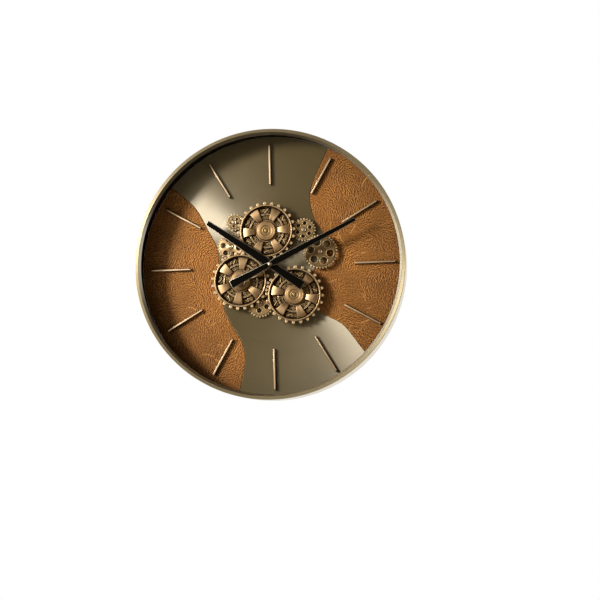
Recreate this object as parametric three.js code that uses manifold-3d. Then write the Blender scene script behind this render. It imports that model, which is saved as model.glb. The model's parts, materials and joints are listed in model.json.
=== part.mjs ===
// Round wall clock with an open gear train, in millimetres.
// A deep metal hoop holds a dial of brushed metal between two leather panels. Three meshed gear
// wheels and five small gears stand on the dial, under black hands that a quartz movement turns.
//
// Every piece is drawn in the dial's frame: x right, y up, z out of the wall, with z = 0 on the
// wall. The finished group is turned so that +Z is up and the dial faces -Y.
import * as THREE from "three";
import { mergeVertices } from "three/addons/utils/BufferGeometryUtils.js";
import Module from "manifold-3d";

const wasm = await Module();
wasm.setup();

// Fits
const seat = 0.3; // gap between two pieces that rest on each other
const running = 0.4; // radial gap between a turning bore and its pin
const pierceGap = 0.7; // radial gap around a shaft where it passes the dial
const lap = 1; // how far two forms of one casting run into each other

// Case
const caseRadius = 300;
const caseDepth = 88;
const caseWall = 4;
const lipReach = 8.4; // how far the bezel's lip stands in from the hoop's wall
const lipThickness = 8;
const lipFlat = 4.5; // flat front ring of the lip
const lipBevel = 6; // depth of the sloped face inside the flat ring
const rimRounding = 3;
const caseSegments = 56;
const hiddenSegments = 30; // of the round pieces behind the dial
const cornerSteps = 3; // straight steps in a rounded corner

// Stack behind the dial's face
const backPanelThickness = 2.5;
const spacerHeight = 15;
const spacerWidth = 10;
const boardThickness = 4;
const sheetThickness = 1.7;
const leatherThickness = 1.3;
const panelGap = 0.6; // side gap between the sheet and a leather panel

// Dial outline: the two edges of the brushed band run from the rim at the top to the rim at the
// bottom, at angles in degrees from 3 o'clock. Their points near the rim are an angle and a distance
// in from the dial's edge, and their points beside the gears are places on the dial.
const leftEdge = {
  top: 140,
  upper: [{ angle: 140.9, inset: 70 }],
  beside: [{ x: -146, y: 90 }, { x: -122, y: 36 }, { x: -120, y: -40 }, { x: -106, y: -106 }],
  lower: [{ angle: 246.9, inset: 111.6 }, { angle: 252.9, inset: 70 }],
  bottom: 254,
};
const rightEdge = {
  top: 63.5,
  upper: [{ angle: 63.4, inset: 62.7 }, { angle: 60.9, inset: 114.4 }],
  beside: [
    { x: 97, y: 103 },
    { x: 121, y: 62 },
    { x: 121, y: 16 },
    { x: 88, y: -18 },
    { x: 80, y: -66 },
    { x: 106, y: -106 },
  ],
  lower: [{ angle: -41.4, inset: 89.8 }, { angle: -43.6, inset: 37.1 }],
  bottom: -45,
};
const edgeSteps = 3; // straight steps between two points of an edge

// Hour markers
const hourCount = 12;
const markerLength = 90.5;
const markerWidth = 5.2;
const markerHeight = 8;
const markerChamfer = 1;
const markerInset = 19.4; // from the dial's edge to the marker's outer end

// Hanger and service openings in the back panel
const hangerDrop = 40; // from the dial's edge to the middle of the hanger plate
const hangerWidth = 60;
const hangerHeight = 36;
const hangerThickness = 1.5;
const hangerMargin = 8; // how far the plate laps over its window
const hangerCorner = 4;
const keyholeRadius = 5.5;
const keyholeSlotRadius = 2.6;
const keyholeTravel = 11;
const serviceGap = 1.5; // from a battery or knob to the edge of its opening

// Quartz movement and gear motor, two moulded housings with a battery bay each
const movementSize = 56;
const motorWidth = 62;
const motorHeight = 60;
const housingCorner = 5;
const cellRadius = 7.1;
const cellLength = 48.5;
const cellNubRadius = 2.7;
const cellNubLength = 1.5;
const bayGap = 0.5; // around the battery in its bay
const cellRecess = 1.2; // from the wall to the battery
const movementBayDrop = 17; // from the hand axis down to the battery's axis
const motorBayDrop = 22; // from the drive arbor down to the battery's axis
const motorArborRise = 12; // from the motor's middle up to the drive arbor
const arborDepth = 9; // how far an arbor runs down into its housing
const knobRadius = 6.5;
const knobHeight = 4.6;
const knobRecess = 0.6; // from the wall to the knob
const knobStemRadius = 1.6;
const knobStemLength = 5;
const knobPlace = [14, 14];
const knobSides = 16;

// Hand shafts
const arborRadius = 1.7;
const pipeWall = 1.1;
const bushingWall = 1.4;
const bushingProud = 8; // how far the bushing stands out of the dial
const bushingNutWidth = 14; // across the flats
const bushingNutHeight = 3.6;
const bushingNutSides = 6;

// Hands, measured from their pivot: reach, then half widths of the outline
const hourShown = 10;
const minuteShown = 10.7;
const minuteCount = 60;
const handThickness = 2.2;
const hourHand = { reach: 171, tail: 86, tip: 4.4, shoulder: 8.6, waist: 6, tailEnd: 9.2 };
const minuteHand = { reach: 212, tail: 97, tip: 2.7, shoulder: 6.8, waist: 4.6, tailEnd: 8.2 };
const handShoulder = 15; // from the pivot to the widest point of the blade
const handLift = 10; // from the hub caps to the hour hand
const handGap = 3.8; // between the two hands
const handNutRadius = 5.2;
const handNutHeight = 4.4;
const handNutChamfer = 1;
const arborProud = 2.2; // how far the minute arbor stands out of its hand

// Large wheels
const wheelModule = 5.25;
const wheelTeeth = 24;
const wheelAddendum = 2.8;
const wheelDedendum = 3.9;
const wheelToothWidth = 6.9; // on the pitch circle
const wheelFlank = 14; // degrees
const wheelTipDrop = 1.3; // rounding of the tooth's head
const wheelRim = 6; // from the tooth root in to the rim's inner wall
const wheelDepth = 10.5;
const wheelPlate = 4;
const padCount = 6;
const padAngle = 24; // degrees
const padInner = 25.5;
const padOuter = 50.3;
const padHeight = 5;
const armAngle = 26; // degrees, of the arm under a pad
const windowInner = 25;
const windowOuter = 51;
const crossBarInner = 35.5;
const crossBarOuter = 39.5;

// Fine gears behind the wheels
const fineModule = 2.2;
const fineAddendum = 2;
const fineDedendum = 4.2;
const fineTipWidth = 1.2;
const fineThickness = 6.2;
const fineLift = 5.6; // from the dial to the fine gears
const fineGap = 1.2; // from the fine gears to the large wheels
const bossWall = 4.5;

// Axles
const axleRadius = 4;
const axleHeadRadius = 7;
const axleHeadHeight = 3;
const studRadius = 3;
const studHeadRadius = 5.4;
const studHeadHeight = 2.2;
const studClear = 0.7; // from a stud's head to a large wheel above it

// Hub caps
const capRadius = 22;
const capEdge = 4.2;
const capChamfer = 1.8;
const capRingRadius = 11;
const capRingHeight = 2.6;
const capEyeRadius = 5;
const capEyeDepth = 1.4;
const capRoof = 2.6; // metal left over the axle's head
const capSides = 16;

// Places of the large wheels: the left wheel's centre, then the directions to its two partners
const leftWheelCentre = [-70.3, -32];
const topWheelBearing = 61.2; // degrees
const rightWheelBearing = -16.3;
const topToothPhase = 91.5;
const padPhases = { top: 2.5, left: 21.8, right: 47 };

// Teeth of the fine gears and the directions in which they mesh
const topDriveTeeth = 53;
const rightDriveTeeth = 46;
const holedProud = 2.4; // how much thicker the holed gear is than the others
const underWheel = fineThickness + fineGap - studClear - seat - studHeadHeight;
const upperLeft = { teeth: 17, bearing: 162.1, thickness: fineThickness, spokes: 5 };
const upperRight = {
  teeth: 23,
  bearing: 0.2,
  thickness: fineThickness,
  holes: 6,
  holeRadius: 4.1,
  holeRing: 14.6,
};
const middleLeft = {
  teeth: 27,
  bearing: 200.9,
  thickness: fineThickness,
  holes: 6,
  holeRadius: 6,
  holeRing: 18,
};
const holed = {
  teeth: 34,
  bearing: -54.8,
  thickness: fineThickness + holedProud,
  holes: 6,
  holeRadius: 8,
  holeRing: 22.3,
};
const bottom = { teeth: 27, bearing: 191.8, thickness: underWheel, spokes: 5 };
const driveSpokes = 5;
const spokeAngle = 20; // degrees
const spokeRim = 3.6; // from the tooth root in to a window between spokes
const holeSides = 8;
const boreSides = 10;
const rimSides = 32; // of the round wall inside a large wheel's rim

// Heights above the wall, worked out from the thicknesses
const spacerBack = backPanelThickness + seat;
const spacerFront = spacerBack + spacerHeight;
const boardBack = spacerFront + seat;
const boardFront = boardBack + boardThickness;
const sheetBack = boardFront + seat;
const dialFace = sheetBack + sheetThickness;
const onDial = dialFace + seat;
const fineBack = onDial + fineLift;
const fineFront = fineBack + fineThickness;
const wheelBack = fineFront + fineGap;
const plateFront = wheelBack + wheelPlate;
const axleHeadBack = plateFront + seat;
const axleHeadFront = axleHeadBack + axleHeadHeight;
const capTop = Math.max(axleHeadBack + capEdge + capRingHeight, axleHeadFront + seat + capRoof);
const hourHandBack = capTop + handLift;
const hourHandFront = hourHandBack + handThickness;
const minuteHandBack = hourHandFront + handGap;
const minuteHandFront = minuteHandBack + handThickness;

// Radii that follow from the case and the shafts
const insideRadius = caseRadius - caseWall;
const insideFlats = insideRadius * Math.cos(Math.PI / caseSegments); // to the flats of the faceted wall
const dialRadius = insideFlats - seat;
const pipeBore = arborRadius + running;
const pipeRadius = pipeBore + pipeWall;
const bushingBore = pipeRadius + running;
const bushingRadius = bushingBore + bushingWall;

// Directions and places
const fullTurn = 360; // degrees
const radians = THREE.MathUtils.degToRad;
const ray = (reach, angle) => new THREE.Vector2(Math.cos(angle), Math.sin(angle)).multiplyScalar(reach);
const pitchRadius = (teeth, module) => (teeth * module) / 2;

// The place of a gear that meshes with another, seen from it in the direction bearing
function meshed(driver, module, teeth, bearing) {
  const angle = radians(bearing);
  const reach = pitchRadius(driver.teeth + teeth, module);
  const turned = ((angle - driver.phase) * driver.teeth) / (2 * Math.PI);
  const phase = angle + Math.PI - ((0.5 - turned) * 2 * Math.PI) / teeth;
  return { teeth, phase, centre: driver.centre.clone().add(ray(reach, angle)) };
}

const leftCentre = new THREE.Vector2(...leftWheelCentre);
const topReach = pitchRadius(2 * wheelTeeth, wheelModule);
const topWheel = {
  teeth: wheelTeeth,
  phase: radians(topToothPhase),
  centre: leftCentre.clone().add(ray(topReach, radians(topWheelBearing))),
};
const leftWheel = meshed(topWheel, wheelModule, wheelTeeth, topWheelBearing + 180);
const rightWheel = meshed(leftWheel, wheelModule, wheelTeeth, rightWheelBearing);
const topDrive = { ...topWheel, teeth: topDriveTeeth };
const rightDrive = { ...rightWheel, teeth: rightDriveTeeth };
const onFine = (driver, gear) => ({ ...gear, ...meshed(driver, fineModule, gear.teeth, gear.bearing) });
const upperLeftGear = onFine(topDrive, upperLeft);
const upperRightGear = onFine(topDrive, upperRight);
const middleLeftGear = onFine(topDrive, middleLeft);
const holedGear = onFine(upperRightGear, holed);
const bottomGear = onFine(rightDrive, bottom);
const smallGears = {
  upper_left_gear: upperLeftGear,
  upper_right_gear: upperRightGear,
  middle_left_gear: middleLeftGear,
  holed_gear: holedGear,
  bottom_gear: bottomGear,
};

// Finishes
function finish(color, roughness, metalness) {
  return new THREE.MeshStandardMaterial({ color, roughness, metalness });
}

const champagne = finish(0xb8a478, 0.35, 1);
const brushedMetal = finish(0x81765a, 0.38, 1);
const leather = finish(0x8c5a2e, 0.6, 0);
const brass = finish(0xc8a870, 0.35, 1);
const bronze = finish(0x8a7046, 0.4, 1);
const darkBronze = finish(0x5c4b32, 0.45, 1);
const blackPaint = finish(0x14110e, 0.5, 0);
const blackPlastic = finish(0x1c1c1c, 0.6, 0);
const fibreboard = finish(0x4a3a2a, 0.85, 0);
const steel = finish(0x8d8d8a, 0.4, 1);
const cellSleeve = finish(0x3b4a3f, 0.5, 0);

const clock = new THREE.Group();
clock.rotation.x = Math.PI / 2;

// Shape helpers

// One closed surface: shared corners merged, faces without area left out
function closed(geometry) {
  geometry.deleteAttribute("normal");
  geometry.deleteAttribute("uv");
  const merged = mergeVertices(geometry);
  const corners = merged.getIndex().array;
  const kept = [];
  for (let i = 0; i < corners.length; i += 3) {
    const [a, b, c] = corners.slice(i, i + 3);
    if (a !== b && b !== c && c !== a) kept.push(a, b, c);
  }
  merged.setIndex(kept);
  merged.computeVertexNormals();
  return merged;
}

function toSolid(geometry) {
  const mesh = closed(geometry);
  const vertProperties = new Float32Array(mesh.getAttribute("position").array);
  const triVerts = new Uint32Array(mesh.getIndex().array);
  return new wasm.Manifold(new wasm.Mesh({ numProp: 3, vertProperties, triVerts }));
}

function toGeometry(solid) {
  const mesh = solid.getMesh();
  const geometry = new THREE.BufferGeometry();
  geometry.setAttribute("position", new THREE.BufferAttribute(mesh.vertProperties, 3));
  geometry.setIndex(new THREE.BufferAttribute(mesh.triVerts, 1));
  geometry.computeVertexNormals();
  return geometry;
}

function joined(...parts) {
  return toGeometry(parts.map(toSolid).reduce((whole, part) => whole.add(part)));
}

function cut(body, ...tools) {
  return toGeometry(tools.map(toSolid).reduce((rest, tool) => rest.subtract(tool), toSolid(body)));
}

// A flat plate of a shape between two heights
function plate(shape, back, front) {
  const options = { depth: front - back, bevelEnabled: false, curveSegments: cornerSteps };
  return closed(new THREE.ExtrudeGeometry(shape, options).translate(0, 0, back));
}

// A turned piece from a profile of [radius, height] points
function turned(profile, segments) {
  const points = profile.map(([radius, height]) => new THREE.Vector2(radius, height));
  return closed(new THREE.LatheGeometry(points, segments).rotateX(Math.PI / 2));
}

function tube(inner, outer, back, front, segments) {
  return turned([[inner, back], [outer, back], [outer, front], [inner, front], [inner, back]], segments);
}

function rod(radius, back, front, segments) {
  return turned([[0, back], [radius, back], [radius, front], [0, front]], segments);
}

const ring = (radius, sides, phase = 0) =>
  Array.from({ length: sides }, (_, i) => ray(radius, phase + (2 * Math.PI * i) / sides));
const ringHole = (radius, sides, centre = new THREE.Vector2()) =>
  new THREE.Path(ring(radius, sides).map((point) => point.add(centre)));
const disc = (radius, sides) => new THREE.Shape(ring(radius, sides));

// A ring sector between two radii, spread evenly about an angle, with a straight inner side
function sector(inner, outer, middle, spread, outerSteps = 2) {
  const start = middle - spread / 2;
  const angles = Array.from({ length: outerSteps + 1 }, (_, i) => start + (spread * i) / outerSteps);
  const outerSide = angles.map((angle) => ray(outer, angle));
  return [...outerSide, ray(inner, start + spread), ray(inner, start)];
}

// A rectangle with round corners about a centre
function roundedRectangle(width, height, corner, centre = new THREE.Vector2()) {
  const right = centre.x + width / 2 - corner;
  const left = centre.x - width / 2 + corner;
  const upper = centre.y + height / 2 - corner;
  const lower = centre.y - height / 2 + corner;
  const quarter = Math.PI / 2;
  return new THREE.Shape()
    .absarc(right, upper, corner, 0, quarter)
    .absarc(left, upper, corner, quarter, 2 * quarter)
    .absarc(left, lower, corner, 2 * quarter, 3 * quarter)
    .absarc(right, lower, corner, 3 * quarter, 4 * quarter);
}

function rectangle(width, height, centre) {
  const corners = [[-1, -1], [1, -1], [1, 1], [-1, 1]];
  const points = corners.map(([x, y]) => new THREE.Vector2((x * width) / 2, (y * height) / 2));
  return new THREE.Shape(points.map((point) => point.add(centre)));
}

function place(name, geometry, material, centre = new THREE.Vector2(), phase = 0) {
  const mesh = new THREE.Mesh(geometry, material);
  mesh.name = name;
  mesh.position.set(centre.x, centre.y, 0);
  mesh.rotation.z = phase;
  clock.add(mesh);
}

// Case: a hoop with a bevelled front bezel, a spacer ring, a back panel and a keyhole hanger
function addCase() {
  const bezelBack = caseDepth - lipThickness;
  const lipRadius = insideRadius - lipReach;
  const flatOuter = caseRadius - rimRounding;
  const chamfer = rimRounding * (1 - Math.SQRT1_2);
  const bezel = [
    [lipRadius, bezelBack],
    [caseRadius, bezelBack],
    [caseRadius, caseDepth - rimRounding],
    [caseRadius - chamfer, caseDepth - chamfer],
    [flatOuter, caseDepth],
    [flatOuter - lipFlat, caseDepth],
    [lipRadius, caseDepth - lipBevel],
    [lipRadius, bezelBack],
  ];
  place("case_hoop", tube(insideRadius, caseRadius, 0, bezelBack - seat, caseSegments), champagne);
  place("front_bezel", turned(bezel, caseSegments), champagne);
  const spacer = tube(dialRadius - spacerWidth, dialRadius, spacerBack, spacerFront, hiddenSegments);
  place("spacer_ring", spacer, fibreboard);

  const hangerCentre = new THREE.Vector2(0, dialRadius - hangerDrop);
  const panel = disc(dialRadius, caseSegments);
  const hangerWindow = [hangerWidth - 2 * hangerMargin, hangerHeight - 2 * hangerMargin];
  panel.holes.push(rectangle(...hangerWindow, hangerCentre));
  const bayWindow = [cellLength + cellNubLength + 2 * serviceGap, 2 * (cellRadius + serviceGap)];
  panel.holes.push(rectangle(...bayWindow, new THREE.Vector2(0, -movementBayDrop)));
  const motorBay = leftWheel.centre.clone().sub(new THREE.Vector2(0, motorBayDrop));
  panel.holes.push(rectangle(...bayWindow, motorBay));
  panel.holes.push(ringHole(knobRadius + serviceGap, knobSides, new THREE.Vector2(...knobPlace)));
  place("back_panel", plate(panel, 0, backPanelThickness), fibreboard);

  const hanger = roundedRectangle(hangerWidth, hangerHeight, hangerCorner);
  const slotAngle = Math.asin(keyholeSlotRadius / keyholeRadius);
  const keyhole = new THREE.Path()
    .absarc(0, -keyholeTravel / 2, keyholeRadius, Math.PI / 2 + slotAngle, 2.5 * Math.PI - slotAngle)
    .absarc(0, keyholeTravel / 2, keyholeSlotRadius, 0, Math.PI);
  hanger.holes.push(keyhole);
  place("hanger_plate", plate(hanger, spacerBack, spacerBack + hangerThickness), steel, hangerCentre);
}

// Dial: a board, with a brushed sheet in an S between two leather panels
const rimMargin = (shift) => THREE.MathUtils.radToDeg(shift / dialRadius);

// An edge of the band from top to bottom, moved sideways by shift
function bandEdge(edge, shift) {
  const aside = new THREE.Vector2(shift, 0);
  const nearRim = ({ angle, inset }) => ray(dialRadius - inset, radians(angle)).add(aside);
  const points = [
    ray(dialRadius, radians(edge.top - rimMargin(shift))),
    ...edge.upper.map(nearRim),
    ...edge.beside.map(({ x, y }) => new THREE.Vector2(x, y).add(aside)),
    ...edge.lower.map(nearRim),
    ray(dialRadius, radians(edge.bottom + rimMargin(shift))),
  ];
  return new THREE.SplineCurve(points).getPoints(edgeSteps * (points.length - 1));
}

// The points of the dial's edge between two angles, without its ends
function rimArc(from, to) {
  const steps = Math.ceil((Math.abs(to - from) * caseSegments) / fullTurn);
  const angles = Array.from({ length: steps - 1 }, (_, i) => from + ((to - from) * (i + 1)) / steps);
  return angles.map((angle) => ray(dialRadius, radians(angle)));
}

// A leather panel: the far side of a band's edge, closed along the rim
function leatherPanel(edge, shift) {
  const margin = rimMargin(shift);
  const outline = [...bandEdge(edge, shift), ...rimArc(edge.bottom + margin, edge.top - margin)];
  return plate(new THREE.Shape(outline), sheetBack, sheetBack + leatherThickness);
}

function addDial() {
  const axleCentres = [topWheel, leftWheel, rightWheel].map((wheel) => wheel.centre);
  const studCentres = Object.values(smallGears).map((gear) => gear.centre);
  const pierce = (shape) => {
    shape.holes.push(ringHole(bushingRadius + seat, boreSides));
    axleCentres.forEach((centre) => shape.holes.push(ringHole(axleRadius + pierceGap, holeSides, centre)));
    studCentres.forEach((centre) => shape.holes.push(ringHole(studRadius + pierceGap, holeSides, centre)));
  };
  const board = disc(dialRadius, hiddenSegments);
  pierce(board);
  place("dial_board", plate(board, boardBack, boardFront), fibreboard);

  const sheet = new THREE.Shape([
    ...bandEdge(rightEdge, 0),
    ...rimArc(rightEdge.bottom + fullTurn, leftEdge.bottom),
    ...bandEdge(leftEdge, 0).reverse(),
    ...rimArc(leftEdge.top, rightEdge.top),
  ]);
  pierce(sheet);
  place("brushed_dial_sheet", plate(sheet, sheetBack, dialFace), brushedMetal);
  place("leather_panel_left", leatherPanel(leftEdge, -panelGap), leather);
  place("leather_panel_right", leatherPanel(rightEdge, panelGap), leather);
}

// Hour markers: twelve bars with their top edges broken
function addMarkers() {
  const half = markerWidth / 2;
  const crown = markerHeight - markerChamfer;
  const section = [
    [-half, 0],
    [half, 0],
    [half, crown],
    [half - markerChamfer, markerHeight],
    [markerChamfer - half, markerHeight],
    [-half, crown],
  ];
  const outline = new THREE.Shape(section.map(([x, y]) => new THREE.Vector2(x, y)));
  const start = dialRadius - markerInset;
  for (let hour = 1; hour <= hourCount; hour += 1) {
    const bar = new THREE.ExtrudeGeometry(outline, { depth: markerLength, bevelEnabled: false });
    bar.rotateX(Math.PI / 2).translate(0, start, onDial);
    const turn = radians((-fullTurn * hour) / hourCount);
    place(`hour_marker_${hour}`, closed(bar), brass, new THREE.Vector2(), turn);
  }
}

// Housings: a moulded block with an open battery bay and a blind bore for its arbor
function housing(width, height, centre, cellCentre, bores) {
  const bayLength = cellLength + cellNubLength + 2 * bayGap;
  const bayWidth = 2 * (cellRadius + bayGap);
  const bayFloor = cellRecess + 2 * cellRadius + bayGap;
  const body = plate(roundedRectangle(width, height, housingCorner, centre), spacerBack, spacerFront);
  const bay = plate(rectangle(bayLength, bayWidth, cellCentre), 0, bayFloor);
  return cut(body, bay, ...bores);
}

function cell() {
  const half = (cellLength + cellNubLength) / 2;
  const shoulder = half - cellNubLength;
  const profile = [
    [0, -half],
    [cellRadius, -half],
    [cellRadius, shoulder],
    [cellNubRadius, shoulder],
    [cellNubRadius, half],
    [0, half],
  ];
  return turned(profile, boreSides).rotateY(Math.PI / 2).translate(0, 0, cellRecess + cellRadius);
}

function addMovement() {
  const cellCentre = new THREE.Vector2(0, -movementBayDrop);
  const knobCentre = new THREE.Vector2(...knobPlace);
  const knobFront = knobRecess + knobHeight;
  const stemFront = knobFront + knobStemLength;
  const shaftBore = rod(bushingBore, spacerFront - arborDepth, spacerFront + lap, boreSides);
  const knobWell = rod(knobRadius + serviceGap, 0, knobFront + seat, knobSides).translate(...knobPlace, 0);
  const stemBore = rod(knobStemRadius + running, 0, stemFront + seat, boreSides).translate(...knobPlace, 0);
  const bores = [shaftBore, knobWell, stemBore];
  const body = housing(movementSize, movementSize, new THREE.Vector2(), cellCentre, bores);
  place("movement_case", body, blackPlastic);
  place("movement_cell", cell(), cellSleeve, cellCentre);
  const knob = [
    [0, knobRecess],
    [knobRadius, knobRecess],
    [knobRadius, knobFront],
    [knobStemRadius, knobFront],
    [knobStemRadius, stemFront],
    [0, stemFront],
  ];
  place("setting_knob", turned(knob, knobSides), blackPlastic, knobCentre);
}

function addGearMotor() {
  const centre = leftWheel.centre.clone().sub(new THREE.Vector2(0, motorArborRise));
  const cellCentre = leftWheel.centre.clone().sub(new THREE.Vector2(0, motorBayDrop));
  const arborBore = rod(axleRadius + running, spacerFront - arborDepth, spacerFront + lap, boreSides);
  arborBore.translate(leftWheel.centre.x, leftWheel.centre.y, 0);
  place("gear_motor_case", housing(motorWidth, motorHeight, centre, cellCentre, [arborBore]), blackPlastic);
  place("gear_motor_cell", cell(), cellSleeve, cellCentre);
}

// Hand shafts: bushing, nut, hour pipe and minute arbor on the dial's axis
function addShafts() {
  const bushingFront = dialFace + bushingProud;
  const shaftBack = spacerFront - arborDepth + seat;
  place("mounting_bushing", tube(bushingBore, bushingRadius, boardBack, bushingFront, boreSides), brass);
  const nutRadius = bushingNutWidth / 2 / Math.cos(Math.PI / bushingNutSides);
  const nut = new THREE.Shape(ring(nutRadius, bushingNutSides));
  nut.holes.push(ringHole(bushingRadius + seat, boreSides));
  place("mounting_nut", plate(nut, onDial, onDial + bushingNutHeight), brass);
  place("hour_pipe", tube(pipeBore, pipeRadius, shaftBack, hourHandFront + seat, boreSides), brass);
  place("minute_arbor", rod(arborRadius, shaftBack, minuteHandFront + arborProud, boreSides), brass);
}

// Hands: a tapered blade, a waist at the pivot and a tail that widens to its end
function handGeometry(hand, bore, back) {
  const halfWidths = [
    [hand.reach, hand.tip],
    [handShoulder, hand.shoulder],
    [0, hand.waist],
    [-hand.tail, hand.tailEnd],
  ];
  const oneSide = halfWidths.map(([along, half]) => new THREE.Vector2(-half, along));
  const otherSide = halfWidths.map(([along, half]) => new THREE.Vector2(half, along)).reverse();
  const outline = new THREE.Shape([...oneSide, ...otherSide]);
  outline.holes.push(ringHole(bore, boreSides));
  return plate(outline, back, back + handThickness);
}

function addHands() {
  const minuteTurn = radians((fullTurn * minuteShown) / minuteCount);
  const hourTurn = radians((fullTurn * (hourShown + minuteShown / minuteCount)) / hourCount);
  const axis = new THREE.Vector2();
  const hourBlade = handGeometry(hourHand, pipeRadius + seat, hourHandBack);
  const minuteBlade = handGeometry(minuteHand, arborRadius + seat, minuteHandBack);
  place("hour_hand", hourBlade, blackPaint, axis, -hourTurn);
  place("minute_hand", minuteBlade, blackPaint, axis, -minuteTurn);
  const nutBack = minuteHandFront + seat;
  const nutFront = nutBack + handNutHeight;
  const socketRadius = arborRadius + seat;
  const socketEnd = minuteHandFront + arborProud + seat;
  const profile = [
    [0, socketEnd],
    [socketRadius, socketEnd],
    [socketRadius, nutBack],
    [handNutRadius, nutBack],
    [handNutRadius, nutFront - handNutChamfer],
    [handNutRadius - handNutChamfer, nutFront],
    [0, nutFront],
  ];
  place("hand_nut", turned(profile, boreSides), brass);
}

// Teeth: the outline of one tooth is mirrored about its middle and repeated round the gear
function toothedOutline(teeth, halfTooth, tip, root) {
  const outline = [];
  for (let i = 0; i < teeth; i += 1) {
    const middle = (2 * Math.PI * i) / teeth;
    const flank = (side) => ([radius, half]) => ray(radius, middle + side * Math.asin(half / radius));
    const rising = halfTooth.map(flank(-1));
    const falling = halfTooth.map(flank(1)).reverse();
    const crest = tip ? [ray(tip, middle)] : [];
    const valley = root ? [ray(root, middle + Math.PI / teeth)] : [];
    outline.push(...rising, ...crest, ...falling, ...valley);
  }
  return new THREE.Shape(outline);
}

function wheelOutline() {
  const pitch = pitchRadius(wheelTeeth, wheelModule);
  const slope = Math.tan(radians(wheelFlank));
  const widthAt = (radius) => wheelToothWidth / 2 + (pitch - radius) * slope;
  const root = pitch - wheelDedendum;
  const tip = pitch + wheelAddendum;
  const shoulder = tip - wheelTipDrop;
  return toothedOutline(wheelTeeth, [[root, widthAt(root)], [shoulder, widthAt(shoulder)]], tip);
}

function fineOutline(teeth) {
  const pitch = pitchRadius(teeth, fineModule);
  const crest = [pitch + fineAddendum, fineTipWidth / 2];
  return toothedOutline(teeth, [crest], undefined, pitch - fineDedendum);
}

// Large wheel: a toothed rim, a plate with arms and cross bars, and six raised pads
function wheelGeometry(padTurn) {
  const rimInner = pitchRadius(wheelTeeth, wheelModule) - wheelDedendum - wheelRim;
  const rim = wheelOutline();
  rim.holes.push(ringHole(rimInner, rimSides));
  const web = disc(rimInner + lap, rimSides);
  web.holes.push(ringHole(axleRadius + running, boreSides));
  const pads = [];
  for (let i = 0; i < padCount; i += 1) {
    const padMiddle = padTurn + (2 * Math.PI * i) / padCount;
    const gapMiddle = padMiddle + Math.PI / padCount;
    const gapSpread = (2 * Math.PI) / padCount - radians(armAngle);
    web.holes.push(new THREE.Path(sector(windowInner, crossBarInner, gapMiddle, gapSpread, 1)));
    web.holes.push(new THREE.Path(sector(crossBarOuter, windowOuter, gapMiddle, gapSpread)));
    const pad = new THREE.Shape(sector(padInner, padOuter, padMiddle, radians(padAngle)));
    pads.push(plate(pad, plateFront - lap, plateFront + padHeight));
  }
  return joined(plate(rim, wheelBack, wheelBack + wheelDepth), plate(web, wheelBack, plateFront), ...pads);
}

function hubCap() {
  const edgeTop = axleHeadBack + capEdge;
  const wellRadius = axleHeadRadius + running;
  const wellTop = axleHeadFront + seat;
  const profile = [
    [0, wellTop],
    [wellRadius, wellTop],
    [wellRadius, axleHeadBack],
    [capRadius, axleHeadBack],
    [capRadius, edgeTop - capChamfer],
    [capRadius - capChamfer, edgeTop],
    [capRingRadius, edgeTop],
    [capRingRadius, capTop],
    [capEyeRadius, capTop],
    [capEyeRadius, capTop - capEyeDepth],
    [0, capTop - capEyeDepth],
  ];
  return turned(profile, capSides);
}

function headedPin(radius, back, headRadius, headBack, headFront) {
  const profile = [
    [0, back],
    [radius, back],
    [radius, headBack],
    [headRadius, headBack],
    [headRadius, headFront],
    [0, headFront],
  ];
  return turned(profile, boreSides);
}

// Fine gears: a toothed disc, pierced by round holes or by windows between spokes, on a hub
function pierceHoles(outline, gear) {
  const centres = ring(gear.holeRing, gear.holes);
  centres.forEach((centre) => outline.holes.push(ringHole(gear.holeRadius, holeSides, centre)));
}

function pierceSpokes(outline, teeth, spokes, hub) {
  const outer = pitchRadius(teeth, fineModule) - fineDedendum - spokeRim;
  const spread = (2 * Math.PI) / spokes - radians(spokeAngle);
  for (let i = 0; i < spokes; i += 1) {
    const window = sector(hub + lap, outer, (2 * Math.PI * i) / spokes, spread);
    outline.holes.push(new THREE.Path(window));
  }
}

function fineGear(outline, front, bore, hubFront) {
  const hub = bore + bossWall;
  outline.holes.push(ringHole(hub - lap, boreSides));
  return joined(plate(outline, fineBack, front), tube(bore, hub, onDial, hubFront, boreSides));
}

// Drive wheel: a spoked fine gear whose hub reaches from the dial to the large wheel
function driveGeometry(teeth) {
  const bore = axleRadius + running;
  const outline = fineOutline(teeth);
  pierceSpokes(outline, teeth, driveSpokes, bore + bossWall);
  return fineGear(outline, fineFront, bore, wheelBack - seat);
}

function addWheel(side, wheel, axleBack) {
  const padTurn = radians(padPhases[side]) - wheel.phase;
  place(`${side}_wheel`, wheelGeometry(padTurn), bronze, wheel.centre, wheel.phase);
  place(`${side}_hub_cap`, hubCap(), brass, wheel.centre, wheel.phase);
  const pin = headedPin(axleRadius, axleBack, axleHeadRadius, axleHeadBack, axleHeadFront);
  place(`${side}_axle`, pin, steel, wheel.centre);
}

function addWheels() {
  addWheel("top", topWheel, boardBack);
  addWheel("right", rightWheel, boardBack);
  addWheel("left", leftWheel, spacerFront - arborDepth + seat);
  for (const [name, drive] of Object.entries({ top_drive_wheel: topDrive, right_drive_wheel: rightDrive })) {
    place(name, driveGeometry(drive.teeth), darkBronze, drive.centre, drive.phase);
  }
  const bore = axleRadius + running;
  const spacer = tube(bore, bore + bossWall, onDial, wheelBack - seat, boreSides);
  place("left_spacer", spacer, darkBronze, leftWheel.centre);
}

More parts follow.
